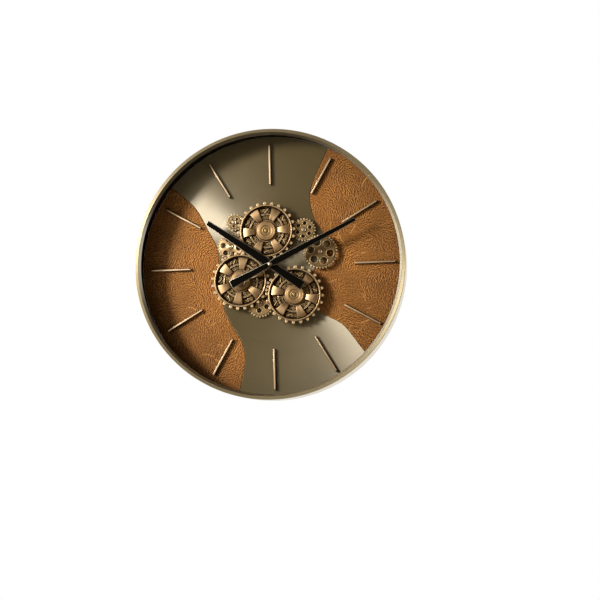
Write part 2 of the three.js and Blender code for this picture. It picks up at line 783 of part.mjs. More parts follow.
// Small gears, each held by a headed stud
function addSmallGears() {
  const bore = studRadius + running;
  for (const [name, gear] of Object.entries(smallGears)) {
    const outline = fineOutline(gear.teeth);
    if (gear.spokes) pierceSpokes(outline, gear.teeth, gear.spokes, bore + bossWall);
    else pierceHoles(outline, gear);
    const front = fineBack + gear.thickness;
    place(name, fineGear(outline, front, bore, front), bronze, gear.centre, gear.phase);
    const headBack = front + seat;
    const stud = headedPin(studRadius, boardBack, studHeadRadius, headBack, headBack + studHeadHeight);
    place(`${name}_stud`, stud, brass, gear.centre);
  }
}

addCase();
addDial();
addMarkers();
addMovement();
addGearMotor();
addShafts();
addHands();
addWheels();
addSmallGears();

export default clock;
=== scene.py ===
"""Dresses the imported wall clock: champagne hoop, leather and brushed metal dial, open gear train,
black hands and the works behind, on a plain pale stage."""

import json
import math

import bmesh
import bpy
import numpy as np
from bpy.props import FloatProperty, FloatVectorProperty, PointerProperty
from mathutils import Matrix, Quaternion, Vector
from mathutils.geometry import delaunay_2d_cdt
from mathutils.kdtree import KDTree


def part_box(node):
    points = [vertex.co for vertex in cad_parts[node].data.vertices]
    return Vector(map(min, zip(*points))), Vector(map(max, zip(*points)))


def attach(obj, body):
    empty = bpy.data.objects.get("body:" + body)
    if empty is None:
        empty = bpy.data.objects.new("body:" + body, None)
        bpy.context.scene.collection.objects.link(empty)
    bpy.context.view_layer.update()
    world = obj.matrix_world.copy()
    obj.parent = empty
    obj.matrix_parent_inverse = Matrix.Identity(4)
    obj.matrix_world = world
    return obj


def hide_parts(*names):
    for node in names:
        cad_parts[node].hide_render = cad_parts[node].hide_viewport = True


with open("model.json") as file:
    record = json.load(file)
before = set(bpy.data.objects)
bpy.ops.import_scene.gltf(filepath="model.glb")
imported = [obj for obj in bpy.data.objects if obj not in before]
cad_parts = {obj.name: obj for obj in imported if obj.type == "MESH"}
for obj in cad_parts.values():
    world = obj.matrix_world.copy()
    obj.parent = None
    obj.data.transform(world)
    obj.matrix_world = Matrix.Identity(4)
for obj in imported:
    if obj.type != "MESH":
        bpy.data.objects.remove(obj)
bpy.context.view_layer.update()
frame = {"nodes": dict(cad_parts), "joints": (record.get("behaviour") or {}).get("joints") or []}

bl_info = {
    "name": "Open Gear Wall Clock",
    "version": (1, 0, 0),
    "blender": (4, 5, 0),
    "location": "View3D > Sidebar > Clock",
    "description": "Dresses a packed wall clock and sets its stage",
    "category": "Object",
}

TURN = 2 * math.pi
MM = 0.001

# The bend from which an edge is drawn sharp, and the sides of the hoop and bezel
SHARP = math.radians(34)
RIM_SIDES = 256

HOURS = 12
WHEEL_TEETH = 24
WHEEL_PADS = 6
WHEEL_SIDES = ("top", "left", "right")
DRIVE_TEETH = {"top": 53, "right": 46}
FINE_TEETH = {
    "upper_left_gear": 17,
    "upper_right_gear": 23,
    "middle_left_gear": 27,
    "holed_gear": 34,
    "bottom_gear": 27,
}

# The ring that a fine gear's holes stand on, and the radius of a hole
GEAR_HOLES = {
    "upper_left_gear": (9.0 * MM, 3.1 * MM),
    "upper_right_gear": (15.0 * MM, 4.4 * MM),
    "holed_gear": (22.0 * MM, 8.3 * MM),
    "bottom_gear": (15.6 * MM, 5.6 * MM),
}
# The middle left gear's paler bronze disc is a painted highlight.
DISC_FINISH = {"middle_left_gear": "pale_bronze", "holed_gear": "works_bronze"}

# A large tooth, from its root: millimetres below the tip and half the width there
WHEEL_FLANK = ((7.8, 4.2), (6.4, 3.7), (4.0, 3.5), (2.6, 3.3), (1.2, 2.8), (0.3, 1.9), (0.02, 0.8))

# Inner and outer radii of a large wheel's windows and of the twin rails between them
WINDOWS = ((39.5 * MM, 53.2 * MM), (25 * MM, 35.5 * MM))
RAILS = ((35.8 * MM, 37.0 * MM), (38.0 * MM, 39.2 * MM))
WINDOW_SPREAD, RAIL_SPREAD, PAD_SPREAD = math.radians(34), math.radians(33), math.radians(24)

# Small wheels in a large wheel's windows: millimetres from the axis, degrees aside, radius, teeth and
# lift, and how far from the axis the loose bars lie
WORKS = (
    (46.4, 6.6, 5.8, 15, 0.9), (46.2, -11.0, 4.6, 12, 0.7), (46.6, -3.4, 3.3, 10, 2.4),
    (30.4, 7.4, 4.4, 12, 0.8), (30.2, -7.0, 4.2, 12, 1.9),
)
WORKS_RING = 46 * MM

# The square of leather that the creases are drawn on, in cells and in metres, the ways that creases
# run and the number of scuffs
LEATHER_CELLS, LEATHER_SPAN = 640, 0.64
CREASE_HEADINGS = 12
SCUFFS = 90

SCREWS, SCREW_RING, SCREW_HEAD = 8, 0.289, 3.4 * MM
KNOB_FLUTES = 24


# Settings that a user would change


def number(name, description, default, **settings):
    """A plain number, or one with a unit or limits."""
    return FloatProperty(name=name, description=description, default=default, **settings)


def length(name, description, default):
    """A length in metres."""
    return number(name, description, default, min=0, unit="LENGTH", precision=5)


def angle(name, description, degrees):
    """An angle, given here in degrees."""
    return number(name, description, math.radians(degrees), subtype="ANGLE")


def power(name, description, watts):
    """The power of a lamp."""
    return number(name, description, watts, unit="POWER")


def colour(name, description, default):
    """A linear colour."""
    return FloatVectorProperty(
        name=name, description=description, default=default, min=0, max=1, subtype="COLOR"
    )


class ClockSizes(bpy.types.PropertyGroup):
    """Sizes of the details that the frame leaves plain."""

    bezel_face: length("Bezel face", "From the bezel's outer edge to its bevel", 6.9 * MM)
    bezel_step: length("Bezel step", "Depth of the step between the face and the bevel", 0.7 * MM)
    brush_swirl: angle("Brush swirl", "Turn of the dial's brush lines from true rings", 28)
    brush_shift: length("Brush shift", "From the dial's middle to that of its brush lines", 20 * MM)
    brush_calm: length("Brush calm", "Radius inside which the dial's brush lines fade out", 90 * MM)
    dial_edge: length("Dial edge", "Rounding of the dial sheet's cut edges", 0.4 * MM)
    marker_edge: length("Marker rounding", "Rounding of the hour markers' upper edges", 1.5 * MM)
    hand_reach: length("Hand reach", "How far a blade's bevel passes the frame's hand", 1.3 * MM)
    hand_edge: length("Hand bevel", "Bevel along the edges of the hands", 0.9 * MM)
    wrinkle_spacing: length("Wrinkle spacing", "From one crease of the leather to the next", 4.5 * MM)
    wrinkle_depth: length("Wrinkle depth", "Height of the leather's creases", 0.75 * MM)
    leather_grid: length("Leather grid", "Spacing of the points that shape the leather", 1.1 * MM)
    leather_shoulder: length("Leather shoulder", "How far the leather's edge rolls down", 0.7 * MM)
    lip_width: length("Wheel lip", "Width of the raised ring on a large wheel's rim", 3.1 * MM)
    lip_inset: length("Lip inset", "From the inside of a rim out to its raised ring", 2.5 * MM)
    pad_reach: length("Pad reach", "How far a pad runs out past the frame's pad", 2.4 * MM)
    tooth_step: length("Tooth step", "How far the large teeth stand back from the lip", 2.4 * MM)
    pad_arch: length("Pad arch", "How far the ends of a wheel pad drop from its middle", 2.2 * MM)
    gear_step: length("Gear step", "How far a fine gear's teeth stand back from its disc", 1.4 * MM)
    gear_rim: length("Gear rim", "From a fine gear's pitch circle in to its raised disc", 4.0 * MM)
    gear_web: length("Gear web", "Thickness of a fine gear inside its rim", 3.0 * MM)
    hole_rim: length("Hole rim", "Width of the raised edge round a fine gear's holes", 1.2 * MM)
    rail_height: length("Rail height", "Height of the rails on a wheel's cross bars", 1.1 * MM)


class ClockColours(bpy.types.PropertyGroup):
    """Colours of the finishes."""

    champagne: colour("Champagne metal", "Face of the bezel", (0.51, 0.415, 0.24))
    bevel: colour("Pale champagne", "Hoop and the bevel inside the bezel", (0.74, 0.67, 0.52))
    dial_metal: colour("Dial metal", "Brushed dial sheet", (0.213, 0.158, 0.066))
    # The crease colour is painted shade in the leather's creases; the ridge colour is rubbed wear with a
    # painted highlight.
    crease: colour("Leather crease", "Low lines of the leather", (0.115, 0.028, 0.005))
    ridge: colour("Leather ridge", "High lines of the leather", (0.73, 0.322, 0.068))
    brass: colour("Pale brass", "Markers", (0.80, 0.585, 0.36))
    cap_brass: colour("Cap brass", "Hub caps and shafts", (0.43, 0.27, 0.125))
    bronze: colour("Antique bronze", "Webs of the large wheels", (0.46, 0.31, 0.16))
    rim: colour("Rim bronze", "Teeth and rails", (0.74, 0.53, 0.29))
    gear: colour("Gear bronze", "Discs of the fine gears", (0.40, 0.262, 0.112))
    # The works bronze is the holed gear's own tone; on the lower small works it is painted shade.
    works: colour("Works bronze", "Small works in the wheels", (0.25, 0.155, 0.062))
    works_patina: colour("Works patina", "Hollows of the small works", (0.030, 0.018, 0.007))
    copper: colour("Brushed copper", "Pads of the large wheels", (0.50, 0.325, 0.165))
    patina: colour("Patina", "Dark tone in the hollows of the bronze", (0.016, 0.010, 0.005))
    # Black paint is the hands' own colour; on the hoop's lining it is painted shade.
    paint: colour("Black paint", "Hands and lining", (0.0030, 0.0023, 0.0012))
    hand_edge: colour("Hand edge", "Bare bevels of the hands", (0.40, 0.355, 0.29))
    gold: colour("Polished gold", "Hand nut and gear pins", (0.66, 0.52, 0.34))
    plastic: colour("Black plastic", "Movement, motor and knob", (0.018, 0.018, 0.019))
    fibre: colour("Fibreboard", "Back panel, dial board and spacer", (0.20, 0.125, 0.07))
    zinc: colour("Zinc", "Hanger, screws and cell ends", (0.58, 0.59, 0.60))
    sleeve: colour("Cell sleeve", "Sleeves of the two cells", (0.06, 0.09, 0.07))
    floor: colour("Floor", "Stage floor", (0.80, 0.79, 0.77))


class ClockStage(bpy.types.PropertyGroup):
    """Camera and lamps."""

    distance: length("Camera distance", "From the camera to its target", 3.0)
    azimuth: angle("Camera azimuth", "How far the camera stands to the clock's right", 6.508)
    elevation: angle("Camera elevation", "How far the camera stands above its target", -6.114)
    roll: angle("Camera roll", "Turn of the camera about its own axis", -1.433)
    lens: number("Lens", "Focal length on a 36 mm sensor", 81.34, unit="CAMERA")
    target: FloatVectorProperty(
        name="Target", description="Point at the middle of the picture",
        default=(0.0630, -0.050, -0.0806), subtype="XYZ", unit="LENGTH"
    )
    key_power: power("Key lamp", "Power of the lamp at the upper left", 104)
    key_size: length("Key size", "Width of the lamp at the upper left", 0.7)
    soft_power: power("Soft lamp", "Power of the broad lamp round the key lamp", 24)
    fill_power: power("Fill lamp", "Power of the lamp at the right", 8)
    side_power: power("Side lamp", "Power of the wide lamp at the left", 20)
    back_power: power("Back lamp", "Power of the lamp behind", 25)
    ambient: number("Ambient", "Strength of the light from all round", 0.03, min=0)
    studio: number("Studio", "Bright side of the studio that metal mirrors", 0.35, min=0)
    front_studio: number("Front studio", "The studio in front of the clock", 0.13, min=0)
    dim_studio: number("Dim studio", "Dark side of the studio that metal mirrors", 0.03, min=0)
    room_tint: colour("Room tint", "Colour of the studio that metal mirrors", (1.0, 0.79, 0.51))
    floor_drop: length("Floor drop", "From the clock's middle down to the floor", 1.2)
    floor_radius: length("Floor radius", "Radius of the round floor", 3.4)


# Reading the frame


def frame_mesh(node):
    """The corners of a frame node, as right, up and out of the wall, and its triangles."""
    mesh = frame["nodes"][node].data
    mesh.calc_loop_triangles()
    corners = np.array([vertex.co for vertex in mesh.vertices])
    corners = np.round(np.column_stack((corners[:, 0], corners[:, 2], -corners[:, 1])), 7)
    corners, index = np.unique(corners, axis=0, return_inverse=True)
    triangles = np.array([triangle.vertices for triangle in mesh.loop_triangles])
    return corners, index.reshape(-1)[triangles]


def heights(node):
    """How far a node's back and front stand off the wall."""
    low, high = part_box(node)
    return -high.y, -low.y


def levels(node):
    """Every height off the wall at which a node has corners, lowest first."""
    return sorted(set(np.round(frame_mesh(node)[0][:, 2], 5)))


def axis(body):
    """Where a turning body's axis stands on the dial, right and up."""
    joint = next(joint for joint in frame["joints"] if joint["child"] == body)
    return np.array((joint["pos_m"][0], joint["pos_m"][2]))


def reaches(corners, at=(0, 0)):
    """How far corners stand from an axis."""
    return np.hypot(*(corners[:, :2] - at).T)


def bore(node, at):
    """The radius of a node's round bore."""
    return reaches(frame_mesh(node)[0], at).min()


def open_rims(triangles):
    """The closed runs of edges that only one triangle has."""
    edges = {(t[i], t[(i + 1) % 3]) for t in triangles for i in range(3)}
    follow = {a: b for a, b in edges if (b, a) not in edges}
    rims = []
    while follow:
        start, after = follow.popitem()
        rims.append([start])
        while after != start:
            rims[-1].append(after)
            after = follow.pop(after)
    return rims


def outlines(node):
    """The closed outlines of a node's flat front, longest first."""
    corners, triangles = frame_mesh(node)
    front = abs(corners[triangles, 2] - corners[:, 2].max()) < 1e-6
    rims = open_rims(triangles[front.all(axis=1)].tolist())
    return sorted((corners[rim, :2] for rim in rims), key=lambda loop: -np.ptp(loop, axis=0).sum())


def tooth_phase(corners, teeth):
    """The direction of a tooth, from the corners that stand furthest out."""
    radius = reaches(corners)
    outer = corners[radius > radius.max() - 0.05 * MM]
    return np.angle(np.exp(1j * teeth * np.arctan2(outer[:, 1], outer[:, 0])).mean()) / teeth


# Outlines and solids, drawn as right, up and out of the wall


def circle(radius, middle=(0, 0), sides=64, start=0.0, sweep=TURN):
    """Points round a circle, or along an arc of it with both ends."""
    angles = start + np.linspace(0, sweep, sides, endpoint=sweep < TURN)
    return np.column_stack((radius * np.cos(angles), radius * np.sin(angles))) + middle


def sector(inner, outer, facing, spread, sides=8):
    """The outline of a piece of a ring that faces one way."""
    far = circle(outer, sides=sides, start=facing - spread / 2, sweep=spread)
    near = circle(inner, sides=sides, start=facing - spread / 2, sweep=spread)
    return np.vstack((far, near[::-1]))


def bar(low_x, high_x, low_y, high_y):
    """A rectangle, or the profile of a ring or disc as (radius, height) points."""
    return [(low_x, low_y), (high_x, low_y), (high_x, high_y), (low_x, high_y)]


def toothed(teeth, flank, phase):
    """A gear's outline: each tooth climbs the flank's (radius, half width) points and comes down."""
    climb = [(radius, math.asin(half / radius)) for radius, half in flank]
    tooth = [(radius, -turn) for radius, turn in climb] + climb[::-1]
    rim = [(radius, phase + turn + TURN * n / teeth) for n in range(teeth) for radius, turn in tooth]
    return np.array([(radius * math.cos(turn), radius * math.sin(turn)) for radius, turn in rim])


def grown(loop, reach):
    """A closed loop, drawn counter-clockwise, moved outwards."""
    after = np.roll(loop, -1, axis=0) - loop
    after /= np.linalg.norm(after, axis=1)[:, None]
    bisector = np.roll(after, 1, axis=0) + after
    bisector /= np.linalg.norm(bisector, axis=1)[:, None]
    miter = reach / np.maximum(0.5, (bisector * after).sum(axis=1))
    return loop + np.stack((bisector[:, 1], -bisector[:, 0]), axis=1) * miter[:, None]


def smooth_outline(loop, pitch=2.5 * MM, bend=math.radians(30)):
    """A closed loop whose runs between sharp corners are drawn as smooth curves."""
    before = loop - np.roll(loop, 1, axis=0)
    after = np.roll(loop, -1, axis=0) - loop
    across = before[:, 0] * after[:, 1] - before[:, 1] * after[:, 0]
    sharp = np.flatnonzero(abs(np.arctan2(across, (before * after).sum(axis=1))) > bend)
    loop = np.roll(loop, -sharp[0], axis=0)
    stops = list(sharp - sharp[0]) + [len(loop)]
    loop = np.vstack((loop, loop[:1]))
    drawn = []
    for first, last in zip(stops, stops[1:]):
        run = loop[first:last + 1]
        run = np.vstack((2 * run[0] - run[1], run, 2 * run[-1] - run[-2]))
        for p, q, r, s in zip(run, run[1:], run[2:], run[3:]):
            steps = max(1, math.ceil(np.linalg.norm(r - q) / pitch))
            t = np.arange(steps)[:, None] / steps
            curve = (r - p) + t * (2 * p - 5 * q + 4 * r - s + t * (3 * (q - r) + s - p))
            drawn.append(q + 0.5 * t * curve)
    return np.vstack(drawn)


def eased(profile, radius, closed=True, steps=3):
    """A profile whose corners are drawn as small curves."""
    profile = np.asarray(profile, float)
    count = len(profile)
    drawn = []
    for n, corner in enumerate(profile):
        if not closed and n in (0, count - 1):
            drawn.append(corner)
            continue
        back, on = profile[n - 1] - corner, profile[(n + 1) % count] - corner
        long_back, long_on = np.linalg.norm(back), np.linalg.norm(on)
        reach = min(radius, 0.45 * long_back, 0.45 * long_on)
        start, end = corner + back / long_back * reach, corner + on / long_on * reach
        for t in np.linspace(0, 1, steps + 1):
            drawn.append((1 - t) ** 2 * start + 2 * t * (1 - t) * corner + t * t * end)
    return drawn


def outward(corners, faces):
    """A closed solid with its faces turned outwards."""
    corners = np.asarray(corners, float)
    fans = np.array([(face[0], a, b) for face in faces for a, b in zip(face[1:], face[2:])])
    volume = (corners[fans[:, 0]] * np.cross(corners[fans[:, 1]], corners[fans[:, 2]])).sum()
    return corners, faces if volume > 0 else [face[::-1] for face in faces]


def turned(profile, sides=96, edge=0.0, steps=3):
    """A solid turned from (radius, height) points that close on themselves or end on the axis."""
    if edge:
        profile = eased(profile, edge, profile[0][0] > 0, steps)
    corners, rings, faces = [], [], []
    for radius, height in profile:
        count = sides if radius > 0 else 1
        rings.append([len(corners) + n % count for n in range(sides)])
        corners += [(*point, height) for point in circle(radius, sides=sides)[:count]]
    if profile[0][0] > 0:
        rings.append(rings[0])
    for low, high in zip(rings, rings[1:]):
        for n in range(sides):
            m = (n + 1) % sides
            side = (low[n], low[m], high[m], high[n])
            faces.append([corner for spot, corner in enumerate(side) if corner not in side[:spot]])
    return outward(corners, faces)


def plate(loops, back, front, edge, steps=2):
    """A flat plate cut to an outline and the holes that follow it, with rounded edges."""
    curve = bpy.data.curves.new("outline", "CURVE")
    curve.dimensions = "2D"
    curve.fill_mode = "BOTH"
    curve.extrude = (front - back) / 2 - edge
    curve.bevel_depth = edge
    curve.bevel_resolution = steps
    curve.offset = -edge
    for n, loop in enumerate(loops):
        x, y = np.asarray(loop).T
        runs_left = x @ np.roll(y, -1) > y @ np.roll(x, -1)
        spline = curve.splines.new("POLY")
        spline.points.add(len(loop) - 1)
        places = np.zeros((len(loop), 4))
        places[:, :2] = loop if runs_left == (n == 0) else loop[::-1]
        spline.points.foreach_set("co", places.ravel())
        spline.use_cyclic_u = True
    drawn = bpy.data.objects.new("outline", curve)
    bpy.context.scene.collection.objects.link(drawn)
    graph = bpy.context.evaluated_depsgraph_get()
    mesh = bpy.data.meshes.new_from_object(drawn.evaluated_get(graph), depsgraph=graph)
    shell = bmesh.new()
    shell.from_mesh(mesh)
    bmesh.ops.remove_doubles(shell, verts=shell.verts, dist=1e-6)
    middle = (back + front) / 2
    corners = [(vert.co.x, vert.co.y, vert.co.z + middle) for vert in shell.verts]
    faces = [[vert.index for vert in face.verts] for face in shell.faces]
    shell.free()
    bpy.data.objects.remove(drawn)
    bpy.data.curves.remove(curve)
    bpy.data.meshes.remove(mesh)
    return outward(corners, faces)


def shifted(solid, right=0.0, up=0.0, turn=0.0):
    """A solid turned on the dial and then moved."""
    corners, faces = solid
    c, s = math.cos(turn), math.sin(turn)
    x, y, w = corners.T
    return np.column_stack((c * x - s * y + right, s * x + c * y + up, w)), faces


def piece(name, solids, looks, body="clock_body", at=(0, 0), replaces=(), sharp=SHARP):
    """One object made of closed solids, each with the place of its finish in the list, or with two
    places: one for its flat faces and one for its edges."""
    corners, faces, kinds = [], [], []
    for (points, sides), kind in solids:
        faces += [[corner + len(corners) for corner in side] for side in sides]
        kinds += [kind] * len(sides)
        corners += [(x, -w, y) for x, y, w in points]
    mesh = bpy.data.meshes.new(name)
    mesh.from_pydata(corners, [], faces)
    edges = [abs(side.normal.y) < 0.99999 for side in mesh.polygons]
    kinds = [kind if isinstance(kind, int) else kind[edge] for kind, edge in zip(kinds, edges)]
    mesh.polygons.foreach_set("material_index", kinds)
    mesh.set_sharp_from_angle(angle=sharp)
    mesh.polygons.foreach_set("use_smooth", edges)
    for look in looks:
        mesh.materials.append(finish(look))
    mesh.update()
    made = bpy.data.objects.new(name, mesh)
    made.location = (at[0], 0, at[1])
    bpy.context.scene.collection.objects.link(made)
    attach(made, body)
    if replaces:
        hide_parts(*replaces)
    return made


# Finishes


def add(tree, kind, inputs=None, **settings):
    """A node with its settings, and its inputs given as sockets to link or as values."""
    made = tree.nodes.new(kind)
    for name, value in settings.items():
        setattr(made, name, value)
    for key, value in (inputs or {}).items():
        if isinstance(value, bpy.types.NodeSocket):
            tree.links.new(value, made.inputs[key])
        else:
            made.inputs[key].default_value = value
    return made


def arith(tree, operation, first, second, clamp=False):
    """Two values worked into one."""
    inputs = {0: first, 1: second}
    return add(tree, "ShaderNodeMath", inputs, operation=operation, use_clamp=clamp).outputs[0]


def vector(tree, operation, first, second=None):
    """Vectors worked into one, or into a number by a length or a dot product."""
    inputs = {0: first}
    if second is not None:
        inputs["Scale" if operation == "SCALE" else 1] = second
    made = add(tree, "ShaderNodeVectorMath", inputs, operation=operation)
    return made.outputs["Value" if operation in ("LENGTH", "DOT_PRODUCT") else "Vector"]


def mixed(tree, factor, low, high):
    """A colour between two others."""
    low, high = (v if isinstance(v, bpy.types.NodeSocket) else (*v, 1) for v in (low, high))
    return add(tree, "ShaderNodeMix", {0: factor, 6: low, 7: high}, data_type="RGBA").outputs[2]


def chosen(tree, test, low, high):
    """One value where a test is 0 and another where it is 1."""
    return add(tree, "ShaderNodeMix", {0: test, 2: low, 3: high}, data_type="FLOAT").outputs[0]


def ranged(tree, value, low, high, start, end):
    """A value carried from one range to another."""
    inputs = {"Value": value, "From Min": low, "From Max": high, "To Min": start, "To Max": end}
    return add(tree, "ShaderNodeMapRange", inputs).outputs["Result"]


def own_place(tree):
    """The object's own coordinates."""
    return add(tree, "ShaderNodeTexCoord").outputs["Object"]


def grain(tree, scale, detail=3.0, places=None):
    """Noise over the object's own coordinates, or over others that are given."""
    places = own_place(tree) if places is None else places
    inputs = {"Vector": places, "Scale": scale, "Detail": detail}
    return add(tree, "ShaderNodeTexNoise", inputs).outputs[0]


def ring_lines(tree, fine, swirl, middle, slow=2.2):
    """Coordinates that hardly change round the brush's middle and change quickly outwards, the way
    outwards, turned by the swirl of the brush, and the distance from its middle."""
    flat = vector(tree, "MULTIPLY", vector(tree, "SUBTRACT", own_place(tree), middle), (1, 0, 1))
    radius = vector(tree, "LENGTH", flat)
    heading = vector(tree, "SCALE", vector(tree, "NORMALIZE", flat), slow)
    quick = add(tree, "ShaderNodeCombineXYZ", {"Y": arith(tree, "MULTIPLY", radius, fine)}).outputs[0]
    turn = {"Vector": flat, "Axis": (0, 1, 0), "Angle": -swirl}
    swirled = add(tree, "ShaderNodeVectorRotate", turn).outputs[0]
    outwards = add(
        tree, "ShaderNodeVectorTransform", {"Vector": swirled},
        vector_type="VECTOR", convert_from="OBJECT", convert_to="WORLD"
    ).outputs[0]
    return vector(tree, "ADD", heading, quick), outwards, radius


def toned(tone, share=1.0):
    """A colour, made darker or lighter."""
    return tuple(min(1.0, share * part) for part in tone)


def new_finish(name, **constants):
    """A material, its nodes and its shader, with constants set on the shader's own sockets."""
    made = bpy.data.materials.new(name)
    made.use_nodes = True
    shader = made.node_tree.nodes["Principled BSDF"]
    for socket, value in constants.items():
        shader.inputs[socket.replace("_", " ")].default_value = value
    return made, made.node_tree, shader


def feed(shader, **sockets):
    """Links what varies over a surface to the shader's sockets."""
    for socket, value in sockets.items():
        shader.id_data.links.new(value, shader.inputs[socket.replace("_", " ")])


def relief(tree, height, strength, distance):
    """Small bumps on a finish."""
    inputs = {"Height": height, "Strength": strength, "Distance": distance}
    return add(tree, "ShaderNodeBump", inputs).outputs["Normal"]


def brushed_rings(
    name, tone, roughness, stretch, fine, contrast, swirl=0.0, bare=1.0, gloss=1.5, bumps=0.12,
    middle=(0, 0, 0), calm=0.0
):
    """Metal brushed round its middle, or in a slight swirl about it, bare or under a matt lacquer.
    The brush lines fade out inside the calm radius."""
    made, tree, shader = new_finish(name, Metallic=bare, Anisotropic=stretch, IOR=gloss)
    lines, outwards, radius = ring_lines(tree, fine, swirl, middle)
    streaks = grain(tree, 1.0, 3.0, lines)
    streak = ranged(tree, streaks, 0.3, 0.7, 1 - contrast, 1 + contrast)
    cloud = ranged(tree, grain(tree, 14.0, 2.0), 0.3, 0.7, 0.94, 1.06)
    feed(
        shader,
        Base_Color=vector(tree, "SCALE", tone, arith(tree, "MULTIPLY", streak, cloud)),
        Roughness=ranged(tree, streaks, 0.25, 0.75, roughness - 0.07, roughness + 0.07),
        Tangent=outwards,
        Normal=relief(tree, streaks, bumps, 0.15 * MM),
    )
    if calm:
        feed(shader, Anisotropic=ranged(tree, radius, 0.6 * calm, calm, 0.0, stretch))
    return made


def aged_metal(name, tone, dark, roughness=0.40, hollow=6 * MM, scratch=260):
    """Metal with a dark patina in its hollows, paler worn edges and fine scratches."""
    made, tree, shader = new_finish(name, Metallic=1.0)
    shade = add(tree, "ShaderNodeAmbientOcclusion", {"Distance": hollow}, samples=6).outputs["AO"]
    worn = add(tree, "ShaderNodeNewGeometry").outputs["Pointiness"]
    speck = grain(tree, 1.0, 3.0, vector(tree, "MULTIPLY", own_place(tree), (scratch, scratch, scratch)))
    open_air = ranged(tree, shade, 0.25, 0.95, 0.0, 1.0)
    mottled = ranged(tree, grain(tree, 55.0, 4.0), 0.25, 0.75, 0.62, 1.0)
    rubbed = ranged(tree, worn, 0.505, 0.56, 0.0, 0.5)
    bare = arith(tree, "ADD", arith(tree, "MULTIPLY", open_air, mottled), rubbed, True)
    feed(
        shader,
        Base_Color=mixed(tree, bare, dark, tone),
        Roughness=ranged(tree, speck, 0.3, 0.7, roughness - 0.08, roughness + 0.12),
        Normal=relief(tree, speck, 0.12, 0.1 * MM),
    )
    return made


def drawn_metal(name, tone, roughness):
    """Plain drawn metal with faint clouds and lines."""
    made, tree, shader = new_finish(name, Metallic=1.0)
    cloud = ranged(tree, grain(tree, 30.0), 0.3, 0.7, 0.0, 1.0)
    fine = grain(tree, 2600.0, 2.0)
    feed(
        shader,
        Base_Color=mixed(tree, cloud, toned(tone, 0.9), toned(tone, 1.08)),
        Roughness=ranged(tree, fine, 0.3, 0.7, roughness - 0.04, roughness + 0.05),
        Normal=relief(tree, fine, 0.02, 0.02 * MM),
    )
    return made


def leather(name, ridge, crease):
    """Creased leather: ridges pale from rubbing with a painted highlight, creases dark with painted
    shade, clouds of dye, painted shade darkening it towards the rim, and fine pores.
    """
    made, tree, shader = new_finish(name, Specular_IOR_Level=0.14)
    height = add(tree, "ShaderNodeAttribute", attribute_name="wrinkle").outputs["Fac"]
    scuff = add(tree, "ShaderNodeAttribute", attribute_name="scuff").outputs["Fac"]
    pores = grain(tree, 300.0, 4.0)
    radius = vector(tree, "LENGTH", vector(tree, "MULTIPLY", own_place(tree), (1, 0, 1)))
    # Painted shade: the leather grows darker towards the rim, where the hoop shades it.
    rim = ranged(tree, radius, 0.19, 0.285, 1.0, 0.72)
    cloud = ranged(tree, grain(tree, 16.0, 4.0), 0.32, 0.68, 0.88, 1.12)
    speckle = ranged(tree, pores, 0.3, 0.7, -0.22, 0.22)
    # Painted shade and highlight: the colour runs from the dark crease colour in the creases to the pale
    # ridge colour on the ridges.
    lift = arith(tree, "ADD", ranged(tree, height, -1.0, 1.0, 0.0, 1.0), speckle, True)
    pale = tuple(min(1.0, 1.4 * part + 0.05) for part in ridge)
    base = mixed(tree, scuff, mixed(tree, lift, crease, ridge), pale)
    feed(
        shader,
        Base_Color=vector(tree, "SCALE", base, arith(tree, "MULTIPLY", rim, cloud)),
        Roughness=ranged(tree, height, -1.0, 1.0, 0.62, 0.44),
        Normal=relief(tree, pores, 0.35, 0.25 * MM),
    )
    return made


def painted(name, tone, roughness, scale, depth, gloss=0.4, clouds=0.3):
    """Paint or moulded plastic with a fine texture and faint clouds."""
    made, tree, shader = new_finish(name, Specular_IOR_Level=gloss)
    fine = grain(tree, scale)
    feed(
        shader,
        Base_Color=mixed(tree, grain(tree, 24.0), toned(tone, 1 - clouds), toned(tone, 1 + clouds)),
        Roughness=ranged(tree, fine, 0.3, 0.7, roughness - 0.06, roughness + 0.08),
        Normal=relief(tree, fine, 0.25, depth),
    )
    return made


def fibreboard(name, tone):
    """Pressed brown fibre: short fibres, flecks and a slightly uneven face."""
    made, tree, shader = new_finish(name, Roughness=0.82)
    fibres = grain(tree, 1.0, 5.0, vector(tree, "MULTIPLY", own_place(tree), (420, 120, 160)))
    clouds = ranged(tree, grain(tree, 22.0), 0.35, 0.65, -0.06, 0.06)
    blend = arith(tree, "MULTIPLY", fibres, grain(tree, 110.0, 5.0))
    blend = ranged(tree, arith(tree, "ADD", blend, clouds), 0.12, 0.40, 0.0, 1.0)
    feed(
        shader,
        Base_Color=mixed(tree, blend, toned(tone, 0.45), toned(tone, 1.5)),
        Normal=relief(tree, fibres, 0.3, 0.2 * MM),
    )
    return made


def zinc_plate(name, tone):
    """Zinc plated steel with soft crystal patches."""
    made, tree, shader = new_finish(name, Metallic=1.0)
    patches = add(tree, "ShaderNodeTexVoronoi", {"Vector": own_place(tree), "Scale": 260.0})
    patch = add(tree, "ShaderNodeSeparateColor", {0: patches.outputs["Color"]}).outputs[0]
    feed(
        shader,
        Base_Color=mixed(tree, patch, toned(tone, 0.72), tone),
        Roughness=ranged(tree, patch, 0.0, 1.0, 0.3, 0.46),
        Normal=relief(tree, grain(tree, 700.0), 0.1, 0.1 * MM),
    )
    return made


